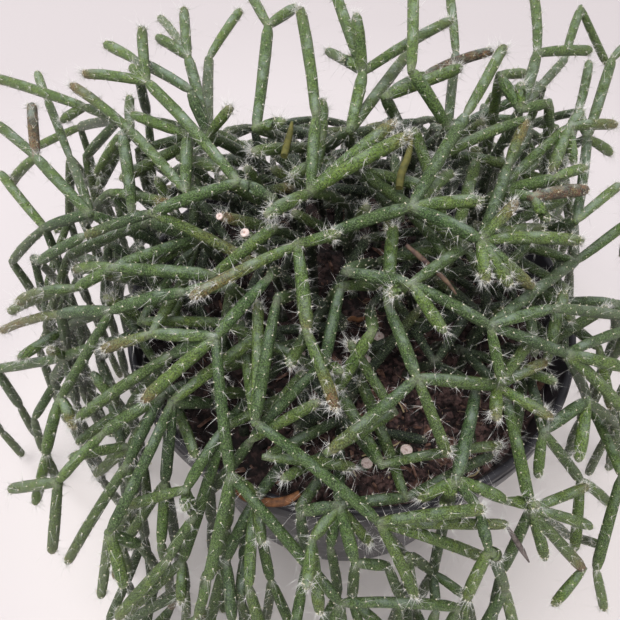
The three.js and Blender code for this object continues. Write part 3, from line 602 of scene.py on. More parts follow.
# ---- Camera, floor and light ----
LIGHTS = {  # where each stands, in metres, its size, its power and its colour
    "overhead": ((-0.25, -0.4, 1.9), 1.3, 28, (1, 0.985, 0.975)),
    "window": ((-1.4, 1.0, 1.7), 1.0, 13, (0.95, 0.975, 1)),
}
ROOM = {"Color": (0.95, 0.935, 0.94, 1), "Strength": 0.74}
FLOOR = {"radius": 4, "sides": 96, "fade": 0.4}
# The floor's painted light: lighter near the pot, where the plant casts its shadow, and darker farther out as
# a painted falloff of the lamps.
FLOOR_PAINTED_LIGHT = (  # from the pot outwards: how much of the fade lies behind, and the colour there
    (0.2, (0.84, 0.785, 0.77)), (0.44, (0.60, 0.555, 0.565)), (0.65, (0.60, 0.555, 0.565)),
    (0.9, (0.55, 0.505, 0.515)),
)


def put(name, data):
    made = bpy.data.objects.new(name, data)
    bpy.context.scene.collection.objects.link(made)
    return made


def add_camera():
    camera = put("camera", bpy.data.cameras.new("camera"))
    camera.data.lens = camera.data.sensor_width * FOCAL / PLANE
    camera.data.clip_start = 0.01
    camera.location = Vector(EYE * MM)
    camera.rotation_euler = (math.radians(90) - LOOK_DOWN, 0, 0)
    bpy.context.scene.camera = camera


def add_light(name, place, size, power, colour):
    lamp = bpy.data.lights.new(name, "AREA")
    lamp.shape = "DISK"
    lamp.size = size
    lamp.energy = power
    lamp.color = colour
    light = put(name, lamp)
    light.location = place
    light.rotation_euler = (-Vector(place)).to_track_quat("-Z", "Y").to_euler()


def add_studio():
    bm = bmesh.new()
    bmesh.ops.create_circle(bm, cap_ends=True, segments=FLOOR["sides"], radius=FLOOR["radius"])
    floor = put("floor", mesh_of("floor", bm, smooth=False))
    paint = Paint("pale_floor_painted_light")
    # Painted light: the floor lightens towards the pot and darkens far from it.
    far = paint.remap(paint.distance_from((0, 0, 0)), 0, FLOOR["fade"])
    paint.finish({"Base Color": paint.ramp(far, *FLOOR_PAINTED_LIGHT), "Roughness": 0.8})
    floor.data.materials.append(paint.material)
    for name, light in LIGHTS.items():
        add_light(name, *light)
    bpy.context.scene.view_settings.view_transform = "Standard"
    world = bpy.data.worlds.new("pale_room")
    world.use_nodes = True
    for name, value in ROOM.items():
        world.node_tree.nodes["Background"].inputs[name].default_value = value
    bpy.context.scene.world = world


# ---- Materials ----
class Paint:
    """A node material."""

    def __init__(self, name):
        self.material = bpy.data.materials.new(name)
        self.material.use_nodes = True
        self.tree = self.material.node_tree
        self.shader = self.tree.nodes["Principled BSDF"]

    def feed(self, socket, value):
        if isinstance(value, bpy.types.NodeSocket):
            self.tree.links.new(value, socket)
        else:
            socket.default_value = (*value, 1) if socket.type == "RGBA" else value

    def finish(self, sockets):
        for name, value in sockets.items():
            self.feed(self.shader.inputs[name], value)

    def node(self, kind, sockets, **settings):
        node = self.tree.nodes.new("ShaderNode" + kind)
        for name, value in settings.items():
            setattr(node, name, value)
        for name, value in sockets.items():
            self.feed(node.inputs[name], value)
        return node

    def place(self):
        return self.node("TexCoord", {}).outputs["Object"]

    def noise(self, scale, detail=3, rough=0.55):
        sockets = {"Scale": scale, "Detail": detail, "Roughness": rough, "Vector": self.place()}
        return self.node("TexNoise", sockets).outputs["Fac"]

    def cells(self, scale):
        return self.node("TexVoronoi", {"Scale": scale, "Vector": self.place()}).outputs["Distance"]

    def distance_from(self, spot):
        return self.node("VectorMath", {0: self.place(), 1: spot}, operation="DISTANCE").outputs["Value"]

    def upward(self):
        """How much the surface faces up."""
        normal = self.node("NewGeometry", {}).outputs["Normal"]
        return self.node("SeparateXYZ", {0: normal}).outputs[2]

    def ramp(self, source, *stops):
        """Runs through colours, or plain strengths, as the source runs past their positions."""
        node = self.node("ValToRGB", {"Fac": source})
        elements = node.color_ramp.elements
        while len(elements) < len(stops):
            elements.new(0.5)
        for element, (position, colour) in zip(elements, stops):
            element.position = position
            element.color = (*colour, 1) if isinstance(colour, tuple) else (colour, colour, colour, 1)
        return node.outputs["Color"]

    def mix(self, share, first, second, kind="MIX"):
        sockets = {0: share, 6: first, 7: second}
        return self.node("Mix", sockets, data_type="RGBA", blend_type=kind).outputs[2]

    def add(self, first, second):
        return self.node("Math", {0: first, 1: second}, operation="ADD").outputs[0]

    def times(self, first, second):
        return self.node("Math", {0: first, 1: second}, operation="MULTIPLY").outputs[0]

    def remap(self, source, low, high, to_low=0.0, to_high=1.0):
        sockets = {"Value": source, "From Min": low, "From Max": high, "To Min": to_low, "To Max": to_high}
        return self.node("MapRange", sockets).outputs["Result"]

    def bump(self, height, strength, distance):
        node = self.node("Bump", {"Height": height, "Strength": strength, "Distance": distance})
        self.finish({"Normal": node.outputs["Normal"]})

    def attribute(self, name):
        node = self.node("Attribute", {}, attribute_name=name)
        split = self.node("SeparateColor", {"Color": node.outputs["Color"]})
        return split.outputs[0], split.outputs[1], split.outputs[2], node.outputs["Alpha"]


SKIN = {  # a colour, or colours with their positions from the darkest on
    "old": ((0.32, (0.031, 0.090, 0.021)), (0.68, (0.104, 0.208, 0.044))),
    "fresh": ((0.32, (0.098, 0.205, 0.024)), (0.68, (0.262, 0.380, 0.060))),
    "ripening": (
        (0.0, (0.13, 0.20, 0.035)), (0.3, (0.21, 0.22, 0.05)), (0.55, (0.27, 0.18, 0.055)),
        (0.74, (0.27, 0.12, 0.05)), (0.88, (0.12, 0.065, 0.042)), (1.0, (0.075, 0.045, 0.035)),
    ),
    # shaded is the colour of the painted shade; bloom_and_sheen is real waxy bloom with a painted sheen.
    "shaded": (0.009, 0.021, 0.013), "bloom_and_sheen": (0.40, 0.49, 0.44), "speck": (0.30, 0.40, 0.20),
    "collar": (0.42, 0.42, 0.34),
}


def stem_skin():
    """Waxy green skin, with a painted sheen over real waxy bloom on its upward faces. The attribute "growth"
    holds how young, ripe and dark a link is, and its collar; its darkness is a random tone plus painted shade
    deep in the plant.
    """
    paint = Paint("stem_skin")
    youth, ripe, shade, collar = paint.attribute("growth")
    mottle = paint.noise(330, 5, 0.65)
    rough = paint.noise(2100, 3, 0.8)
    grain = paint.cells(2400)
    green = paint.mix(youth, paint.ramp(mottle, *SKIN["old"]), paint.ramp(mottle, *SKIN["fresh"]))
    # Painted shade: the shade channel darkens the green towards near black. It holds a random dark tone per
    # link plus painted shade deep in the plant.
    green = paint.mix(paint.remap(shade, 0, 1, 0, 0.94), green, SKIN["shaded"])
    patchy = paint.add(ripe, paint.times(ripe, paint.remap(mottle, 0.35, 0.65, -0.35, 0.25)))
    skin = paint.mix(paint.remap(patchy, 0.04, 0.32), green, paint.ramp(patchy, *SKIN["ripening"]))
    skin = paint.mix(1.0, skin, paint.ramp(rough, (0.43, 0.24), (0.57, 1.0)), "MULTIPLY")
    # Real waxy bloom and a painted sheen: upward faces turn pale blue-grey, less so under the painted shade.
    bloom_and_sheen = paint.remap(paint.upward(), 0.6, 1.0, 0, 0.55)
    bloom_and_sheen = paint.times(bloom_and_sheen, paint.remap(paint.noise(150, 4, 0.7), 0.46, 0.64))
    bloom_and_sheen = paint.times(bloom_and_sheen, paint.remap(shade, 0.3, 0.9, 1, 0.3))
    skin = paint.mix(bloom_and_sheen, skin, SKIN["bloom_and_sheen"])
    skin = paint.mix(paint.remap(grain, 0.15, 0.5, 0.6, 0), skin, SKIN["speck"])
    skin = paint.mix(collar, skin, SKIN["collar"])
    waxy = paint.remap(mottle, 0.3, 0.7, 0.34, 0.5)
    paint.finish({"Base Color": skin, "Roughness": waxy, "Coat Weight": 0.08, "Coat Roughness": 0.3})
    lumps = paint.add(rough, paint.noise(600, 2))
    paint.bump(paint.add(paint.remap(grain, 0, 0.6, 0.5, 0), lumps), 1.0, 0.0006)
    return paint.material


def hair_finish(name, colour, roughness, sheen=0.0):
    paint = Paint(name)
    paint.finish({"Base Color": colour, "Roughness": roughness, "Sheen Weight": sheen})
    return paint.material


PEAT = {
    "wet": ((0.40, (0.006, 0.004, 0.004)), (0.52, (0.034, 0.018, 0.018)), (0.64, (0.15, 0.085, 0.078))),
    "dry": ((0.40, (0.020, 0.011, 0.011)), (0.62, (0.23, 0.135, 0.122))),
    "painted_peat_shade": (0.007, 0.004, 0.004),
}


def peat():
    """Crumbly peat, lighter in the open patch at the front; away from it, under the plant, painted shade
    darkens it.
    """
    paint = Paint("peat")
    grain = paint.noise(420, 6, 0.65)
    chunk = paint.remap(paint.noise(120, 4), 0.45, 0.58)
    crumbs = paint.mix(chunk, paint.ramp(grain, *PEAT["wet"]), paint.ramp(grain, *PEAT["dry"]))
    open_patch = (FILL["open_x"] * MM, FILL["open_y"] * MM, SOIL["level"] * MM)
    # Painted shade: the peat darkens towards near black away from the open patch, under the plant.
    painted_peat_shade = paint.remap(paint.distance_from(open_patch), 0.022, 0.06, 0, 0.65)
    colour = paint.mix(painted_peat_shade, crumbs, PEAT["painted_peat_shade"])
    paint.finish({"Base Color": colour, "Roughness": paint.remap(grain, 0.3, 0.7, 0.75, 0.95)})
    paint.bump(grain, 0.9, 0.0009)
    return paint.material


def pot_plastic():
    paint = Paint("pot_plastic")
    colour = paint.ramp(paint.noise(35, 4), (0.3, (0.030, 0.029, 0.036)), (0.7, (0.048, 0.046, 0.056)))
    satin = paint.remap(paint.noise(220, 5, 0.7), 0.3, 0.7, 0.3, 0.46)
    paint.finish({"Base Color": colour, "Roughness": satin})
    paint.bump(paint.noise(1500, 2), 0.12, 0.0002)
    return paint.material


CUT_RINGS = (  # from the middle of a cut to its edge
    (0.0, (0.45, 0.26, 0.21)), (0.2, (0.76, 0.58, 0.53)), (0.5, (0.92, 0.79, 0.76)),
    (0.64, (0.76, 0.58, 0.54)), (0.8, (0.94, 0.82, 0.79)), (1.0, (0.66, 0.50, 0.45)),
)


def cut_face():
    """A dried cut: pale pinkish cream with a ring round its middle. "growth" holds how far out a spot is."""
    paint = Paint("cut_face")
    out = paint.attribute("growth")[0]
    uneven = paint.add(out, paint.remap(paint.noise(1300, 2), 0.3, 0.7, -0.25, 0.25))
    stain = paint.remap(paint.noise(1500, 3), 0.45, 0.62, 0, 0.45)
    colour = paint.mix(stain, paint.ramp(uneven, *CUT_RINGS), (0.52, 0.36, 0.31))
    paint.finish({"Base Color": colour, "Roughness": 0.8})
    paint.bump(paint.noise(1400, 3), 0.5, 0.0003)
    return paint.material


DRY = {  # each dry finish's darkest and lightest colour
    "bark_chips": ((0.08, 0.036, 0.026), (0.34, 0.19, 0.14)),
    "straw": ((0.42, 0.31, 0.15), (0.74, 0.60, 0.36)),
    "root_fibre": ((0.14, 0.085, 0.055), (0.42, 0.30, 0.20)),
    "dead_brown": ((0.075, 0.030, 0.014), (0.30, 0.13, 0.052)),
    "withered_brown": ((0.045, 0.022, 0.026), (0.19, 0.125, 0.075)),
    "dried_grey": ((0.05, 0.037, 0.035), (0.26, 0.215, 0.20)),
    "dried_ochre": ((0.065, 0.070, 0.018), (0.17, 0.155, 0.035)),
}


def dry_finish(name):
    paint = Paint(name)
    low, high = DRY[name]
    paint.finish({"Base Color": paint.ramp(paint.noise(700, 5), (0.3, low), (0.7, high)), "Roughness": 0.75})
    paint.bump(paint.noise(1600, 4), 0.5, 0.0003)
    return paint.material


# ---- Making pieces ----
def piece_of(name, data, slot, materials, *replaced):
    piece = put(name, data)
    for material in materials:
        data.materials.append(material)
    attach(piece, "root")
    if replaced:
        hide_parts(*replaced)
    return piece


def mesh_of(name, bm, smooth=True):
    mesh = bpy.data.meshes.new(name)
    bm.to_mesh(mesh)
    bm.free()
    mesh.polygons.foreach_set("use_smooth", np.full(len(mesh.polygons), smooth))
    return mesh


def lathe(profile, steps):
    """Turns a profile of (radius, height), in millimetres, into a closed shape round the Z axis."""
    bm = bmesh.new()
    points = [bm.verts.new((radius * MM, 0, height * MM)) for radius, height in profile]
    edges = [bm.edges.new(pair) for pair in zip(points, points[1:])]
    bmesh.ops.spin(bm, geom=points + edges, cent=(0, 0, 0), axis=(0, 0, 1), angle=2 * math.pi, steps=steps,
                   use_merge=True)
    bmesh.ops.remove_doubles(bm, verts=bm.verts, dist=1e-6)
    bmesh.ops.recalc_face_normals(bm, faces=bm.faces)
    return bm


def corners_of(mesh):
    corners = np.zeros((len(mesh.vertices), 3))
    mesh.vertices.foreach_get("co", corners.ravel())
    return corners


def copies(name, counts, smooth=True):
    """A mesh of many copies of each shape, one after the other. Each still lies where its shape does."""
    bm = bmesh.new()
    for shape, count in counts:
        for _ in range(count):
            bm.from_mesh(shape)
    return mesh_of(name, bm, smooth)


def move_corners(mesh, corners):
    mesh.vertices.foreach_set("co", (corners * MM).ravel())
    mesh.update()


def give_growth(mesh, youth, ripe, shade, collar):
    """Gives each corner the attribute that the finishes of skins and cuts read."""
    layer = mesh.attributes.new("growth", "FLOAT_COLOR", "POINT")
    layer.data.foreach_set("color", np.stack([youth, ripe, shade, collar], 1).ravel())


def unit(vectors):
    return vectors / np.linalg.norm(vectors, axis=-1, keepdims=True)


# ---- The links' skin ----
# The rings of a link: share of the way, mm past that, and radius. The first and last are its poles.
LINK_RINGS = (
    (0, -1.1, 0.0), (0, -1.0, 0.85), (0, 0.5, 1.08), (0, 2.6, 1.38), (0.3, 0.5, 1.56),
    (0.66, 0, 1.66), (1, -3.4, 1.62), (1, -1.2, 1.32), (1, -0.2, 0.78), (1, 0.2, 0.0),
)
LINK_SIDES = 8
UPRIGHT = 0.05  # a link that runs less level than this counts as upright
BEND = {"sway": 0.014, "arch": 0.022, "longest": 45}  # how far its middle bends out, as shares of its reach
GIRTH = (0.9, 1.07)


def link_shape():
    """A link's skin before it is bent: radius 1, its rings numbered by height."""
    rings = range(1, len(LINK_RINGS) - 1)
    profile = [(0, 0), *[(1, ring) for ring in rings], (0, len(LINK_RINGS) - 1)]
    return mesh_of("link_shape", lathe([(radius / MM, ring / MM) for radius, ring in profile], LINK_SIDES))


class Spine:
    """A link's bent middle line, with a slight bend of its own, and two directions across it."""

    def __init__(self, link, rng):
        self.start, self.end, self.reach = link.start, link.end, link.reach
        self.along = (self.end - self.start) / self.reach
        level = np.hypot(*self.along[:2])
        flat = np.array([self.along[1], -self.along[0], 0.0]) if level > UPRIGHT else np.array([1.0, 0, 0])
        self.side = unit(flat - self.along * (flat @ self.along))
        sway = rng.uniform(-1, 1, 2) * BEND["sway"]
        self.bend = self.side * sway[0] + np.cross(self.along, self.side) * sway[1]
        self.bend = (self.bend + np.array([0, 0, BEND["arch"] * level])) * min(self.reach, BEND["longest"])
        self.girth = rng.uniform(*GIRTH)

    def at(self, distance):
        """Places, headings and the two directions across, at distances from the link's start."""
        t = np.clip(distance / self.reach, 0, 1)[:, None]
        heading = unit(self.along * self.reach + self.bend * 4 * (1 - 2 * t))
        place = self.start + self.along * self.reach * t + self.bend * 4 * t * (1 - t)
        place = place + heading * (distance - np.clip(distance, 0, self.reach))[:, None]
        side = unit(self.side - heading * (heading @ self.side)[:, None])
        return place, heading, side, np.cross(heading, side)

    def rings(self):
        share, past, radius = np.array(LINK_RINGS).T
        return share * self.reach + past, radius * self.girth


def surface(spine, distance, turn):
    """Points on a link's skin, the way out from it there, and the way along it."""
    rings, radii = spine.rings()
    radius = np.interp(distance, rings, radii)
    lean = np.interp(distance, rings, -np.gradient(radii, rings))
    place, heading, side, over = spine.at(distance)
    out = side * np.cos(turn)[:, None] + over * np.sin(turn)[:, None]
    return place + out * radius[:, None], unit(out + heading * np.clip(lean, -1, 3)[:, None]), heading


# ---- How ripe links are: the place a link was planned to end at, how ripe, and where on it that starts ----
RIPE_TIPS = {
    (527, 119): (0.66, 0.0), (517, 201): (0.74, 0.3), (258, 266): (0.45, 0.0), (547, 361): (0.5, 0.1),
    (496, 421): (0.45, 0.4), (553, 419): (0.6, 0.5), (190, 298): (0.6, 0.1), (307, 332): (0.34, 0.5),
    (101, 350): (0.56, -0.3), (337, 412): (0.86, 0.35), (368, 148): (0.7, 0.5),
    (85, 236): (0.4, 0.5), (75, 430): (0.66, 0.3), (2, 331): (0.6, -0.6), (18, 303): (0.4, -0.6),
    (616, 125): (0.5, 0.1), (578, 112): (0.55, 0.6), (83, 74): (0.72, 0.6), (71, 85): (0.7, 0.4),
    (32, 104): (0.92, -9), (493, 51): (0.95, -9), (588, 190): (0.92, -9), (172, 607): (0.8, 0.6),
    (583, 569): (0.8, 0.6), (588, 486): (0.5, 0.6), (250, -6): (0.4, 0.4), (11, 185): (0.45, 0.4),
    (82, 48): (0.5, 0.4), (508, 524): (0.26, 0.0), (492, 561): (0.2, 0.3), (197, 618): (0.25, 0.3),
    (466, 600): (0.2, 0.3), (486, 284): (0.3, 0.4), (511, 287): (0.22, 0.3), (533, 288): (0.5, 0.3),
    (388, 296): (0.3, 0.6), (328, 452): (0.3, 0.3), (412, 134): (0.4, 0.6), (583, 241): (0.28, 0.6),
    (543, 229): (0.28, 0.3), (586, 168): (0.3, 0.5), (505, 590): (0.25, 0.5),
}
# Tips that none of these places names: up to what draw, how ripe, and where on it that starts.
COMMON_TIPS = ((0.03, 0.72, 0.7), (0.09, 0.5, 0.6), (0.4, 0.24, 0.5), (1.0, 0.08, 0.8))
# The planned places whose links are the hairiest, and the ones that are well haired.
HAIRIEST = {
    (486, 284), (511, 287), (533, 288), (388, 296), (328, 452), (397, 121), (412, 134), (101, 350),
    (547, 361), (553, 419), (527, 119), (337, 412), (190, 298), (517, 201), (265, 216), (122, 133),
}
WELL_HAIRED = {
    (307, 332), (216, 337), (231, 475), (322, 99), (334, 160), (368, 148), (484, 201), (480, 240), (543, 229),
    (583, 241), (258, 266), (111, 311), (61, 397), (496, 421), (341, 233), (467, 246), (252, 422),
    (18, 303), (76, 288), (10, 312), (68, 256), (40, 262), (85, 236), (131, 131), (152, 213),
}
HAIR = {"hairiest": 2.1, "well_haired": 1.7, "uneven": 0.2, "range": (0.05, 1.2), "open": 1.35, "deep": -0.95}
# How young and how hairy a link is by its age: the number of links beyond it, up to four.
YOUTH_BY_AGE = (0.95, 0.62, 0.42, 0.28, 0.18)
HAIR_BY_AGE = (0.95, 0.75, 0.55, 0.4, 0.22)
# How the painted shade deep in the plant spreads: inwards from past the rim, and downwards from under the
# crown.
DEEP = {"within": 15, "fade": 25, "least": 0.45, "under": 8, "over": 38}


def buried(points):
    """How deep points lie in the plant: 0 in the open, 1 near the peat. It sets how strongly painted shade
    darkens the skin there, and thins the bristles.
    """
    x, y, z = points.T
    inside = (POT["rim_radius"] + DEEP["within"] - np.hypot(x, y)) / DEEP["fade"]
    under = (crown_height(x, y) - z - DEEP["under"]) / DEEP["over"]
    return np.clip(under, 0, 1) * np.clip(inside, DEEP["least"], 1)


def give_looks(link, place, rng):
    """Gives a link its spine, and how young, ripe, shaded and hairy it is."""
    age = min(link.age, len(YOUTH_BY_AGE) - 1)
    link.spine = Spine(link, rng)
    link.is_tip = link.age == 0
    link.youth = np.clip(YOUTH_BY_AGE[age] + rng.normal(0, 0.13), 0, 1)
    link.shade = rng.uniform(0, 0.4)
    hair = np.clip(HAIR_BY_AGE[age] + rng.normal(0, HAIR["uneven"]), *HAIR["range"])
    link.hair = hair * (HAIR["open"] + HAIR["deep"] * buried(link.at(0.5)[None])[0])
    pick = rng.uniform()
    common = next(looks for most, *looks in COMMON_TIPS if pick < most)
    link.ripe, link.ripe_from = RIPE_TIPS.get(place, common if link.is_tip else (0.0, 0.0))
    if place in HAIRIEST:
        link.hair = HAIR["hairiest"]
    elif place in WELL_HAIRED:
        link.hair = HAIR["well_haired"]


def give_all_looks():
    for number, stem in enumerate(stems):
        children = {}
        for link in stem.links:
            children.setdefault(link.from_joint, []).append(link)
        for link in reversed(stem.links):
            link.age = 1 + max((child.age for child in children.get(link.to_joint, [])), default=-1)
        rng = np.random.default_rng(1000 + number)
        for link in stem.links:
            give_looks(link, planned_places.get((number, link.to_joint)), rng)


UNEVEN = 0.022
COLLAR = {"strength": 0.4, "reach": 0.9}


def skin_piece(name, links, shape, material, seed, *replaced):
    """All the links of a stem, each a copy of the shape bent along its spine."""
    mesh = copies(name, [(shape, len(links))])
    plain = corners_of(shape)
    ring = np.rint(plain[:, 2]).astype(int)
    rng = np.random.default_rng(seed)
    corners, growth = [], []
    for link in links:
        distance, radius = link.spine.rings()
        place, _, side, over = link.spine.at(distance)
        wide = (radius[ring] * (1 + rng.normal(0, UNEVEN, len(plain))))[:, None]
        corners.append(place[ring] + wide * (side[ring] * plain[:, :1] + over[ring] * plain[:, 1:2]))
        share = np.clip(distance / link.reach, 0, 1)[ring]
        ripe = link.ripe * np.clip((share - link.ripe_from) / (1 - link.ripe_from), 0, 1)
        youth = np.clip(link.youth + 0.15 * (share - 0.5), 0, 1)
        ends = np.minimum(np.abs(distance), np.abs(distance - link.reach))[ring]
        collar = COLLAR["strength"] * np.exp(-(ends / COLLAR["reach"]) ** 2)
        # The link's random dark tone, plus painted shade the deeper it lies in the plant.
        shade = np.clip(link.shade + buried(place)[ring], 0, 1)
        growth.append((youth, ripe, shade, collar))
    move_corners(mesh, np.concatenate(corners))
    give_growth(mesh, *joined(growth))
    return piece_of(name, mesh, "stem_skin", [material], *replaced)


def joined(rows):
    return [np.concatenate(parts) for parts in zip(*rows)]


def plain_link(start, end, rng, **looks):
    """A link that the growth rule doesn't know, with its own looks."""
    link = Link(start, end)
    link.spine = Spine(link, rng)
    link.youth, link.ripe, link.ripe_from, link.is_tip = 0.1, 0.0, 0.0, True
    for name, value in looks.items():
        setattr(link, name, value)
    return link


# ---- Areoles and bristles ----
AREOLE = {
    "first": 2.0, "last": 0.9, "step": 1.15, "uneven": 0.25, "swing": 0.2, "wide": (0.2, 0.36),
    "tall": (0.22, 0.42), "sunk": 0.08, "lean": 0.45, "at_joint": 4,
}
BRISTLE = {
    "wide": (0.032, 0.052), "short": (0.7, 1.9), "long": (1.7, 4.2), "most": 10,
    "each": 3.5, "at_tip": 3.2, "tip_reach": 9, "at_joint": 2.1, "joint_reach": 2,
    "out": 0.8, "forward": (-0.1, 0.75), "wild": 0.55, "flattest": 0.15, "bend": 0.32,
    "long_share": 0.35, "long_share_hairy": 0.2, "hairy": 1.5,
}
ROUND = 6.28
LOWEST = 0.05  # no bristle dips under this height, so that none goes through the floor


def areole_spots(link, rng):
    """Where a link's areoles stand: in spirals along it, and crowded over its end."""
    distance = np.arange(AREOLE["first"], link.reach - AREOLE["last"], AREOLE["step"])
    distance = distance + rng.uniform(-AREOLE["uneven"], AREOLE["uneven"], len(distance))
    turn = np.arange(len(distance)) * GOLDEN_TURN + rng.uniform(0, ROUND)
    turn = turn + rng.uniform(-AREOLE["swing"], AREOLE["swing"], len(distance))
    if link.is_tip:
        crowd, before_end = int(7 + 4 * link.hair), (-0.05, 1.5 + link.hair)
    else:
        crowd, before_end = AREOLE["at_joint"], (0.1, 1.3)
    if link.is_tip or len(distance):
        distance = np.concatenate([distance, link.reach - rng.uniform(*before_end, crowd)])
        turn = np.concatenate([turn, rng.uniform(0, ROUND, crowd)])
    return distance, turn


def bristles_per_areole(link, distance, rng):
    past_end = distance - link.reach
    near_tip = np.clip((past_end + BRISTLE["tip_reach"]) / BRISTLE["tip_reach"], 0, 1) * link.is_tip
    near_joint = np.clip((past_end + BRISTLE["joint_reach"]) / BRISTLE["joint_reach"], 0, 1)
    mean = BRISTLE["each"] + BRISTLE["at_tip"] * near_tip + BRISTLE["at_joint"] * near_joint
    return rng.poisson(np.minimum(link.hair * mean, BRISTLE["most"]))


def bristle_rows(link, rng):
    """The areoles and bristles of a link: base, way, width, length and how far each bends."""
    distance, turn = areole_spots(link, rng)
    base, out, heading = surface(link.spine, distance, turn)
    count = len(distance)
    felt = [base - out * AREOLE["sunk"], unit(out + heading * AREOLE["lean"]),
            rng.uniform(*AREOLE["wide"], count), rng.uniform(*AREOLE["tall"], count), np.zeros((count, 3))]
    owner = np.repeat(np.arange(count), bristles_per_areole(link, distance, rng))
    many = len(owner)
    wild = rng.normal(0, BRISTLE["wild"], (many, 3))
    forward = rng.uniform(*BRISTLE["forward"], many)[:, None]
    way = unit(out[owner] * BRISTLE["out"] + heading[owner] * forward + wild)
    inward = np.minimum((way * out[owner]).sum(1), BRISTLE["flattest"])[:, None] - BRISTLE["flattest"]
    way = unit(way - out[owner] * inward)
    is_hairy = link.hair > BRISTLE["hairy"]
    long = rng.uniform(0, 1, many) < BRISTLE["long_share_hairy" if is_hairy else "long_share"]
    length = np.where(long, rng.uniform(*BRISTLE["long"], many), rng.uniform(*BRISTLE["short"], many))
    bend = rng.normal(0, BRISTLE["bend"], (many, 3)) * length[:, None]
    return felt, [base[owner], way, rng.uniform(*BRISTLE["wide"], many), length, bend]


def spike_shape(name):
    """A three-sided spike of radius 1 and height 1, standing on the origin."""
    bm = bmesh.new()
    bmesh.ops.create_cone(bm, cap_ends=True, segments=3, radius1=1, radius2=0, depth=1,
                          matrix=Matrix.Translation((0, 0, 0.5)))
    bmesh.ops.remove_doubles(bm, verts=bm.verts, dist=1e-6)
    bmesh.ops.recalc_face_normals(bm, faces=bm.faces)
    return mesh_of(name, bm)


def bent_shape(name):
    """A spike with one more ring of corners at half its height, so that it can bend."""
    bm = bmesh.new()
    bmesh.ops.create_cone(bm, cap_ends=True, segments=3, radius1=1, radius2=0.7, depth=0.5,
                          matrix=Matrix.Translation((0, 0, 0.25)))
    top = [face for face in bm.faces if face.calc_center_median().z > 0.49]
    bmesh.ops.poke(bm, faces=top)
    for corner in bm.verts:
        if corner.co.z > 0.49 and corner.co.xy.length < 0.1:
            corner.co.z = 1
    bmesh.ops.recalc_face_normals(bm, faces=bm.faces)
    return mesh_of(name, bm)


def stood_up(shape, rows):
    """The corners of a copy of a shape for each row, stood up along the row's way."""
    plain = corners_of(shape)
    base, way, wide, tall, bend = rows
    other = np.where(np.abs(way[:, 2:]) < 0.8, np.array([0, 0, 1.0]), np.array([1.0, 0, 0]))
    side = unit(np.cross(way, other))
    over = np.cross(way, side)
    x, y, z = plain.T[:, None, :, None]
    flat = side[:, None] * x + over[:, None] * y
    return (base[:, None] + flat * wide[:, None, None] + way[:, None] * (tall[:, None, None] * z)
            + bend[:, None] * z * z).reshape(-1, 3)


def bristle_piece(name, links, shapes, materials, seed):
    """The areoles and bristles of a stem. Three bristles of four are straight."""
    rng = np.random.default_rng(seed)
    felts, hairs = zip(*[bristle_rows(link, rng) for link in links])
    felt, hair = joined(felts), joined(hairs)
    straight = np.arange(len(hair[0])) % 4 < 3
    groups = list(zip(shapes, (felt, [part[straight] for part in hair], [part[~straight] for part in hair])))
    mesh = copies(name, [(shape, len(rows[0])) for shape, rows in groups])
    corners = np.concatenate([stood_up(shape, rows) for shape, rows in groups])
    corners[:, 2] = np.maximum(corners[:, 2], LOWEST)
    move_corners(mesh, corners)
    felt_faces = len(felt[0]) * len(shapes[0].polygons)
    mesh.polygons.foreach_set("material_index", (np.arange(len(mesh.polygons)) >= felt_faces).astype(int))
    return piece_of(name, mesh, "stem_skin", materials)


# ---- The pot ----
SHOULDER = POT["height"] - POT["lip_height"]


def pot_profile():
    rim, foot, shoulder, top = POT["rim_radius"], POT["foot_radius"], POT["shoulder_radius"], POT["height"]
    inner = rim - POT["lip_wall"]
    return [
        (0, 0.9), (foot - 7, 0.9), (foot - 6, 0), (foot - 1.4, 0), (foot - 0.4, 0.4), (foot, 1.4),
        (foot + 0.5 * (shoulder - foot), 0.5 * SHOULDER),
        (shoulder - 0.2, SHOULDER - 1.2), (shoulder, SHOULDER),
        (rim - 0.9, SHOULDER + 0.1), (rim - 0.2, SHOULDER + 0.5), (rim, SHOULDER + 1.3), (rim, top - 3.2),
        (rim - 0.35, top - 2.8), (rim - 0.35, top - 1.3), (rim - 0.6, top - 0.5), (rim - 1.2, top - 0.05),
        (inner + 0.9, top - 0.05), (inner + 0.25, top - 0.5), (inner, top - 1.3),
        (shoulder - POT["wall"] + 0.3, SHOULDER + 0.4), (shoulder - POT["wall"], SHOULDER - 1),
        (foot - POT["wall"] + 0.2, POT["floor"] + 0.8), (foot - POT["wall"] - 0.8, POT["floor"]),
        (0, POT["floor"]),
    ]


def add_pot(material):
    mesh = mesh_of("nursery_pot", lathe(pot_profile(), 144))
    piece = piece_of("nursery_pot", mesh, "pot_plastic", [material], "pot")
    bm = bmesh.new()
    for n in range(POT["drains"]):
        turn = Matrix.Rotation(n * 2 * math.pi / POT["drains"], 4, "Z")
        place = turn @ Matrix.Translation((POT["drain_ring"] * MM, 0, 0))
        bmesh.ops.create_cone(bm, cap_ends=True, segments=24, radius1=POT["drain_radius"] * MM,
                              radius2=POT["drain_radius"] * MM, depth=0.02, matrix=place)
    drains = put("drains", mesh_of("drains", bm))
    cut = piece.modifiers.new("drains", "BOOLEAN")
    cut.operation = "DIFFERENCE"
    cut.object = drains
    cut.solver = "EXACT"
    bpy.context.view_layer.update()
    holed = bpy.data.meshes.new_from_object(piece.evaluated_get(bpy.context.evaluated_depsgraph_get()))
    piece.modifiers.clear()
    piece.data = holed
    holed.name = "nursery_pot"
    bpy.data.objects.remove(drains)
    edges = piece.modifiers.new("edges", "WEIGHTED_NORMAL")
    edges.keep_sharp = True


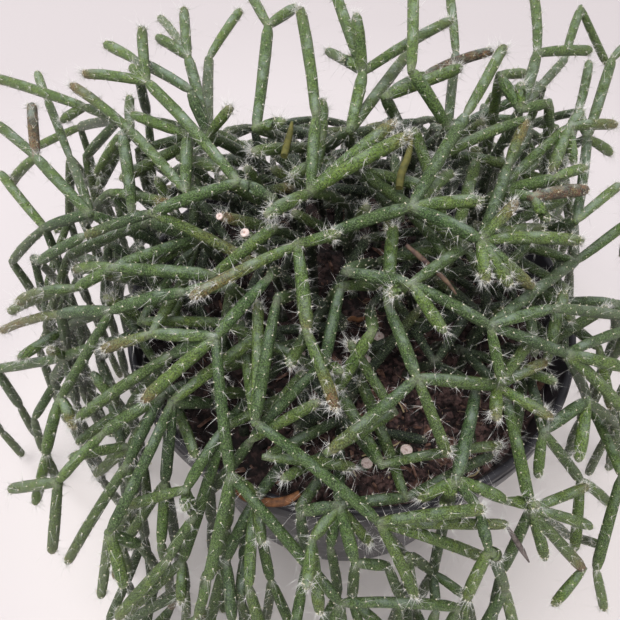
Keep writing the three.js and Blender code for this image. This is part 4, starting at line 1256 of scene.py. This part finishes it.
# ---- The peat ----
BED = {"rings": 74, "steps": 210, "rough": 1.7, "fine": 0.8, "gap": 0.2, "fade": 3, "least": 0.1}
BARE = {"share": 0.45, "spread": 17}  # how many of the loose bits lie in the bare patch, and how widely
CLOD = {"kinds": 6, "size": (0.62, 1.18)}
CHIP_SIZE = (0.75, 1.1)


def soil_height(x, y):
    along_x, along_y, on_slant = (2 * math.pi / length for length in SOIL["waves"])
    lumps = np.sin(along_x * x) * np.cos(along_y * y) + SOIL["slant"] * np.sin(on_slant * (x - y))
    to_edge = (np.hypot(x, y) / POT["shoulder_radius"]) ** 6
    lump = (1 - to_edge) * SOIL["lump"] * lumps / (1 + SOIL["slant"])
    return SOIL["level"] + lump - to_edge * SOIL["edge_drop"]


def wall_radius(height):
    slope = (POT["shoulder_radius"] - POT["foot_radius"]) / (SHOULDER - POT["floor"])
    return POT["foot_radius"] - POT["wall"] + slope * (height - POT["floor"])


def crumbled(x, y):
    """How far the bed's crumbs stand over its smooth lumps."""
    wide = noise.fractal((x * 0.16, y * 0.16, 3.1), 0.8, 2.1, 4)
    fine = noise.noise((x * 0.9, y * 0.9, 8.7))
    return BED["rough"] * wide + BED["fine"] * fine


def add_bed(material):
    top = wall_radius(SOIL["level"]) - BED["gap"]
    bottom = POT["floor"] + 0.3
    profile = [(top * n / BED["rings"], SOIL["level"]) for n in range(BED["rings"] + 1)]
    bm = lathe(profile + [(wall_radius(bottom) - 0.3, bottom), (0, bottom)], BED["steps"])
    for corner in bm.verts:
        x, y, z = corner.co / MM
        if z > SOIL["level"] - 1:
            fade = min(1, (top - math.hypot(x, y)) / BED["fade"])
            corner.co.z = (float(soil_height(x, y)) + max(fade, BED["least"]) * crumbled(x, y)) * MM
    bmesh.ops.recalc_face_normals(bm, faces=bm.faces)
    piece_of("peat_bed", mesh_of("peat_bed", bm), "peat", [material], "soil")


def roughened(name, bm, sizes, seed):
    """A mesh of a shape with each corner pushed in or out at random."""
    rng = np.random.default_rng(seed)
    for corner in bm.verts:
        corner.co *= rng.uniform(*sizes)
    return mesh_of(name, bm)


def clod_shape(n):
    bm = bmesh.new()
    bmesh.ops.create_uvsphere(bm, u_segments=5, v_segments=4, radius=1)
    return roughened(f"clod_{n}", bm, CLOD["size"], 40 + n)


def chip_shape():
    bm = bmesh.new()
    bmesh.ops.create_cube(bm, size=2)
    bmesh.ops.subdivide_edges(bm, edges=bm.edges, cuts=1, use_grid_fill=True)
    return roughened("chip_shape", bm, CHIP_SIZE, 61)


def scattered(rng, count, reach):
    """Places on the peat, thickest in the bare patch at the front."""
    turn = rng.uniform(0, 2 * math.pi, count)
    out = reach * np.sqrt(rng.uniform(0, 1, count))
    x, y = out * np.cos(turn), out * np.sin(turn)
    bare = rng.uniform(0, 1, count) < BARE["share"]
    x = np.where(bare, rng.normal(FILL["open_x"], BARE["spread"], count), x)
    y = np.where(bare, rng.normal(FILL["open_y"], BARE["spread"], count), y)
    within = np.hypot(x, y) < reach
    return x[within], y[within]


def turned_corners(plain, rng, count):
    """Copies of a shape's corners, each turned at random."""
    turn = unit(rng.normal(0, 1, (count, 4)))
    w, x, y, z = turn.T
    rows = np.array([
        [1 - 2 * (y * y + z * z), 2 * (x * y - z * w), 2 * (x * z + y * w)],
        [2 * (x * y + z * w), 1 - 2 * (x * x + z * z), 2 * (y * z - x * w)],
        [2 * (x * z - y * w), 2 * (y * z + x * w), 1 - 2 * (x * x + y * y)],
    ])
    return np.einsum("ijn,kj->nki", rows, plain)


def add_scattered(name, shapes, count, size, flat, material, seed):
    """Many small bits lying on the peat. flat squashes them before they are turned."""
    rng = np.random.default_rng(seed)
    x, y = scattered(rng, count, wall_radius(SOIL["level"]) - 2.2)
    kind = np.arange(len(x)) % len(shapes)
    groups = [(shape, np.flatnonzero(kind == n)) for n, shape in enumerate(shapes)]
    corners = []
    for shape, here in groups:
        wide = size[0] + (size[1] - size[0]) * rng.uniform(0, 1, len(here)) ** 2.2
        ground = soil_height(x[here], y[here]) + [crumbled(*place) for place in zip(x[here], y[here])]
        place = np.stack([x[here], y[here], ground + wide * 0.3], 1)
        turned = turned_corners(corners_of(shape) * flat, rng, len(here)) * wide[:, None, None]
        corners.append((turned + place[:, None]).reshape(-1, 3))
    mesh = copies(name, [(shape, len(here)) for shape, here in groups], smooth=False)
    move_corners(mesh, np.concatenate(corners))
    piece_of(name, mesh, "peat", [material])


# ---- Straws, fibres and dried stems ----
STRAW = {"radius": 0.26, "over": 1.2, "lift": 2.0}
STRAWS = (  # the places in the plane that each straw passes
    ((362, 432), (369, 441), (377, 455), (392, 461), (398, 474)),
    ((404, 438), (392, 446), (381, 444), (374, 452), (362, 456)),
    ((366, 470), (374, 462), (384, 466), (389, 478)),
    ((464, 462), (470, 458), (477, 464), (476, 474), (468, 477)),
    ((384, 408), (390, 398), (398, 402), (404, 412)),
    ((330, 462), (338, 470), (350, 468), (356, 476)),
)
FIBRE = {
    "count": 70, "reach": 64, "knots": 4, "step": 2.2, "swing": 0.5, "farthest": 66,
    "over": 0.9, "lift": 1.4, "radius": (0.09, 0.16),
}
# A dead piece of stem on the rim: the places it passes, how high over the rim, and its radius at each.
DEAD_CURL = (
    ((233, 489), 2.7, 0.5), ((246, 498), 1.8, 1.0), ((265, 502), 1.5, 1.25), ((285, 501), 2.0, 1.35),
    ((300, 493), 3.8, 0.9),
)
# A dead crumb on the peat: the places it passes, and its radius at each.
DEAD_CRUMB = (((345, 323), 0.7), ((352, 319), 1.1), ((359, 320), 0.9), ((366, 317), 0.6))
CRUMB_OVER = 4
# Each dried stem: its name, the places it is seen at, how far behind the crown, and its radius at each.
DRIED = (
    ("dry_stem_1", ((406, 245), (420, 257), (433, 269), (446, 281), (456, 294)), 4,
     (0.5, 0.7, 0.65, 0.6, 0.3), "withered_brown"),
    ("dry_stem_2", ((508, 528), (515, 539), (522, 550), (529, 562)), 2, (0.45, 0.75, 0.8, 0.25),
     "dried_grey"),
    ("dry_stem_3", ((412, 136), (408, 156), (402, 172), (399, 188)), 12, (0.4, 1.0, 1.1, 1.0),
     "dried_ochre"),
    ("dry_stem_4", ((292, 122), (290, 133), (287, 144), (284, 156)), 8, (0.4, 0.9, 1.0, 1.0),
     "dried_ochre"),
)


def strand(name, points, radii, material, slot="peat", fineness=1):
    """A curly strand through the given points, in millimetres, with a radius at each."""
    curve = bpy.data.curves.new(name, "CURVE")
    curve.dimensions = "3D"
    curve.bevel_depth = 1  # each knot's own radius is the real one
    curve.bevel_resolution = fineness
    curve.resolution_u = 5
    curve.use_fill_caps = True
    line = curve.splines.new("BEZIER")
    line.bezier_points.add(len(points) - 1)
    for knot, point, radius in zip(line.bezier_points, points, radii):
        knot.co = Vector(point) * MM
        knot.handle_left_type = knot.handle_right_type = "AUTO"
        knot.radius = radius * MM
    piece_of(name, curve, slot, [material])


def on_peat(place, over):
    """The spot at a height over the peat, in millimetres, that is seen at a place in the plane."""
    for depth in range(NEAREST, FARTHEST):
        p = along_sight(place, depth)
        if p[2] <= soil_height(p[0], p[1]) + over:
            return p
    return along_sight(place, FARTHEST)


def at_height(place, height):
    """The spot at a height that is seen at a place in the plane."""
    depth = (height - EYE[2]) / (along_sight(place, 1)[2] - EYE[2])
    return along_sight(place, depth)


def add_straws(material):
    for n, places in enumerate(STRAWS, 1):
        points = [on_peat(place, STRAW["over"] + STRAW["lift"] * (k % 2)) for k, place in enumerate(places)]
        strand(f"straw_{n}", points, [STRAW["radius"]] * len(points), material)


def add_fibres(material):
    rng = np.random.default_rng(77)
    starts = zip(*scattered(rng, FIBRE["count"], FIBRE["reach"]))
    for n, (x, y) in enumerate(starts, 1):
        heading = rng.uniform(0, 2 * math.pi)
        points = []
        for _ in range(FIBRE["knots"]):
            heading += rng.normal(0, FIBRE["swing"])
            x, y = x + FIBRE["step"] * math.cos(heading), y + FIBRE["step"] * math.sin(heading)
            out = math.hypot(x, y)
            if out > FIBRE["farthest"]:
                x, y = x * FIBRE["farthest"] / out, y * FIBRE["farthest"] / out
            points.append((x, y, float(soil_height(x, y)) + FIBRE["over"] + rng.uniform(0, FIBRE["lift"])))
        strand(f"fibre_{n}", points, [rng.uniform(*FIBRE["radius"])] * len(points), material)


def add_dried(finishes):
    """The shrivelled bits of stem."""
    curl = [at_height(place, POT["height"] + over) for place, over, _ in DEAD_CURL]
    crumb = [on_peat(place, CRUMB_OVER) for place, _ in DEAD_CRUMB]
    bits = [
        ("dead_curl", curl, [radius for _, _, radius in DEAD_CURL], "dead_brown"),
        ("dead_crumb", crumb, [radius for _, radius in DEAD_CRUMB], "dead_brown"),
    ]
    for name, places, lift, radii, finish in DRIED:
        points = [along_sight(place, crown_depth(place) + lift) for place in places]
        bits.append((name, points, radii, finish))
    for name, points, radii, finish in bits:
        strand(name, points, radii, finishes[finish], "stem_skin", fineness=2)


# Short dark stems that lie on the peat: the places they are seen from and to, and how high over it.
LOW_STEMS = (
    ((381, 432), 2.4, (427, 441), 3.2), ((366, 361), 3.0, (346, 394), 2.2),
    ((381, 433), 2.6, (379, 452), 2.0),
)


def low_links():
    rng = np.random.default_rng(31)
    return [plain_link(on_peat(start, low), on_peat(end, high), rng, shade=0.85, hair=0.35)
            for start, low, end, high in LOW_STEMS]


# ---- Cut stubs ----
STUB = {"radius": 1.95, "sides": 14, "foot": -9, "youth": 0.15, "shade": 0.4}
# Short stubs between the solids' own: the place where the cut is seen, its height, and its lean.
MORE_STUBS = (((367, 463), 4, (1, 0)), ((366, 360), 14, (1, -2)), ((327, 303), 5, (0, 1)))
# Link ends that were cut: the stem, which of its links, and the radius of the cut.
CUT_ENDS = ((2, 14, 1.2), (3, 6, 0.95))
CUT_END_PROFILE = ((0, -1), (0.75, -1), (0.97, -0.3), (1, 0.1), (0.9, 0.3), (0.6, 0.25), (0, 0.3))
CUT_END_SLANT = (0, -0.45, 0.9)


def add_stub(name, root, height, lean, skin, face, *replaced):
    radius = STUB["radius"]
    profile = [(0, STUB["foot"]), (radius - 0.3, STUB["foot"]), (radius - 0.1, 0), (radius, height * 0.5),
               (radius - 0.05, height - 1), (radius, height - 0.15), (radius - 0.15, height),
               (radius * 0.78, height - 0.1), (radius * 0.6, height + 0.05), (radius * 0.3, height),
               (0, height + 0.1)]
    mesh = mesh_of(name, lathe(profile, STUB["sides"]))
    corners = corners_of(mesh) / MM
    out = np.hypot(corners[:, 0], corners[:, 1])
    share = np.clip(corners[:, 2] / height, 0, None)[:, None]
    on_face = (corners[:, 2] > height - 0.12) & (out < radius - 0.1)
    place = np.array([*root, SOIL["level"]])
    move_corners(mesh, corners + place + share * np.array([*lean, 0]))
    none = np.zeros(len(corners))
    youth = np.where(on_face, out / (radius - 0.15), STUB["youth"])
    give_growth(mesh, youth, none, none + STUB["shade"], none)
    piece_of(name, mesh, "cut_stem", [skin, face], *replaced)
    for side in mesh.polygons:
        side.material_index = int(all(on_face[corner] for corner in side.vertices))


def add_stubs(skin, face):
    for number, stub in enumerate(STUBS, 1):
        solid = f"cut_stub_{number}"
        add_stub(f"stub_{number}", stub["root"], stub["height"], stub["lean"], skin, face, solid)
    for number, (place, height, lean) in enumerate(MORE_STUBS, len(STUBS) + 1):
        top = on_peat(place, height)
        add_stub(f"stub_{number}", top[:2] - np.array(lean), top[2] - SOIL["level"], lean, skin, face)


def add_cut_ends(face):
    for number, (stem, order, radius) in enumerate(CUT_ENDS, 1):
        spine = stems[stem - 1].links[order].spine
        place, heading, _, _ = spine.at(np.array([spine.reach - 0.1]))
        slant = unit(heading[0] + np.array(CUT_END_SLANT))
        profile = [(out * radius, up) for out, up in CUT_END_PROFILE]
        mesh = mesh_of(f"cut_end_{number}", lathe(profile, STUB["sides"]))
        corners = corners_of(mesh) / MM
        turn = np.array(Vector(slant).to_track_quat("Z", "Y").to_matrix())
        move_corners(mesh, corners @ turn.T + place[0])
        none = np.zeros(len(corners))
        give_growth(mesh, np.hypot(corners[:, 0], corners[:, 1]) / radius, none, none, none)
        piece_of(mesh.name, mesh, "cut_stem", [face])


# ---- The whole object ----
CLODS = {"count": 2450, "size": (0.45, 2.5), "flat": (1, 1, 0.8), "seed": 21}
CHIPS = {"count": 230, "size": (0.8, 3.2), "flat": (1, 0.42, 0.15), "seed": 22}
SEED = {"skin": 5000, "bristles": 9000, "low_stems": 100}

add_camera()
grow_solid_links()
give_all_looks()
add_studio()

skin = stem_skin()
shape = link_shape()
shapes = [spike_shape("areole_shape"), spike_shape("needle_shape"), bent_shape("hair_shape")]
hair_finishes = [
    hair_finish("areole_felt", (0.80, 0.74, 0.57), 0.85),
    hair_finish("bristle_white", (0.86, 0.85, 0.82), 0.45, sheen=0.2),
]
for number, stem in enumerate(stems, 1):
    node = f"stem_{number:02d}"
    foot = plain_link(stem.foot, stem.joints[0], np.random.default_rng(7), shade=0.6)
    skin_piece(node + "_skin", [foot] + stem.links, shape, skin, SEED["skin"] + number, node)
    bristle_piece(node + "_bristles", stem.links, shapes, hair_finishes, SEED["bristles"] + number)
low = low_links()
skin_piece("low_stems_skin", low, shape, skin, SEED["skin"] + SEED["low_stems"])
bristle_piece("low_stems_bristles", low, shapes, hair_finishes, SEED["bristles"] + SEED["low_stems"])

peat_finish = peat()
dry = {name: dry_finish(name) for name in DRY}
add_pot(pot_plastic())
add_bed(peat_finish)
add_scattered("clods", [clod_shape(n) for n in range(CLOD["kinds"])], material=peat_finish, **CLODS)
add_scattered("chips", [chip_shape()], material=dry["bark_chips"], **CHIPS)
add_straws(dry["straw"])
add_fibres(dry["root_fibre"])
add_dried(dry)
face = cut_face()
add_stubs(skin, face)
add_cut_ends(face)
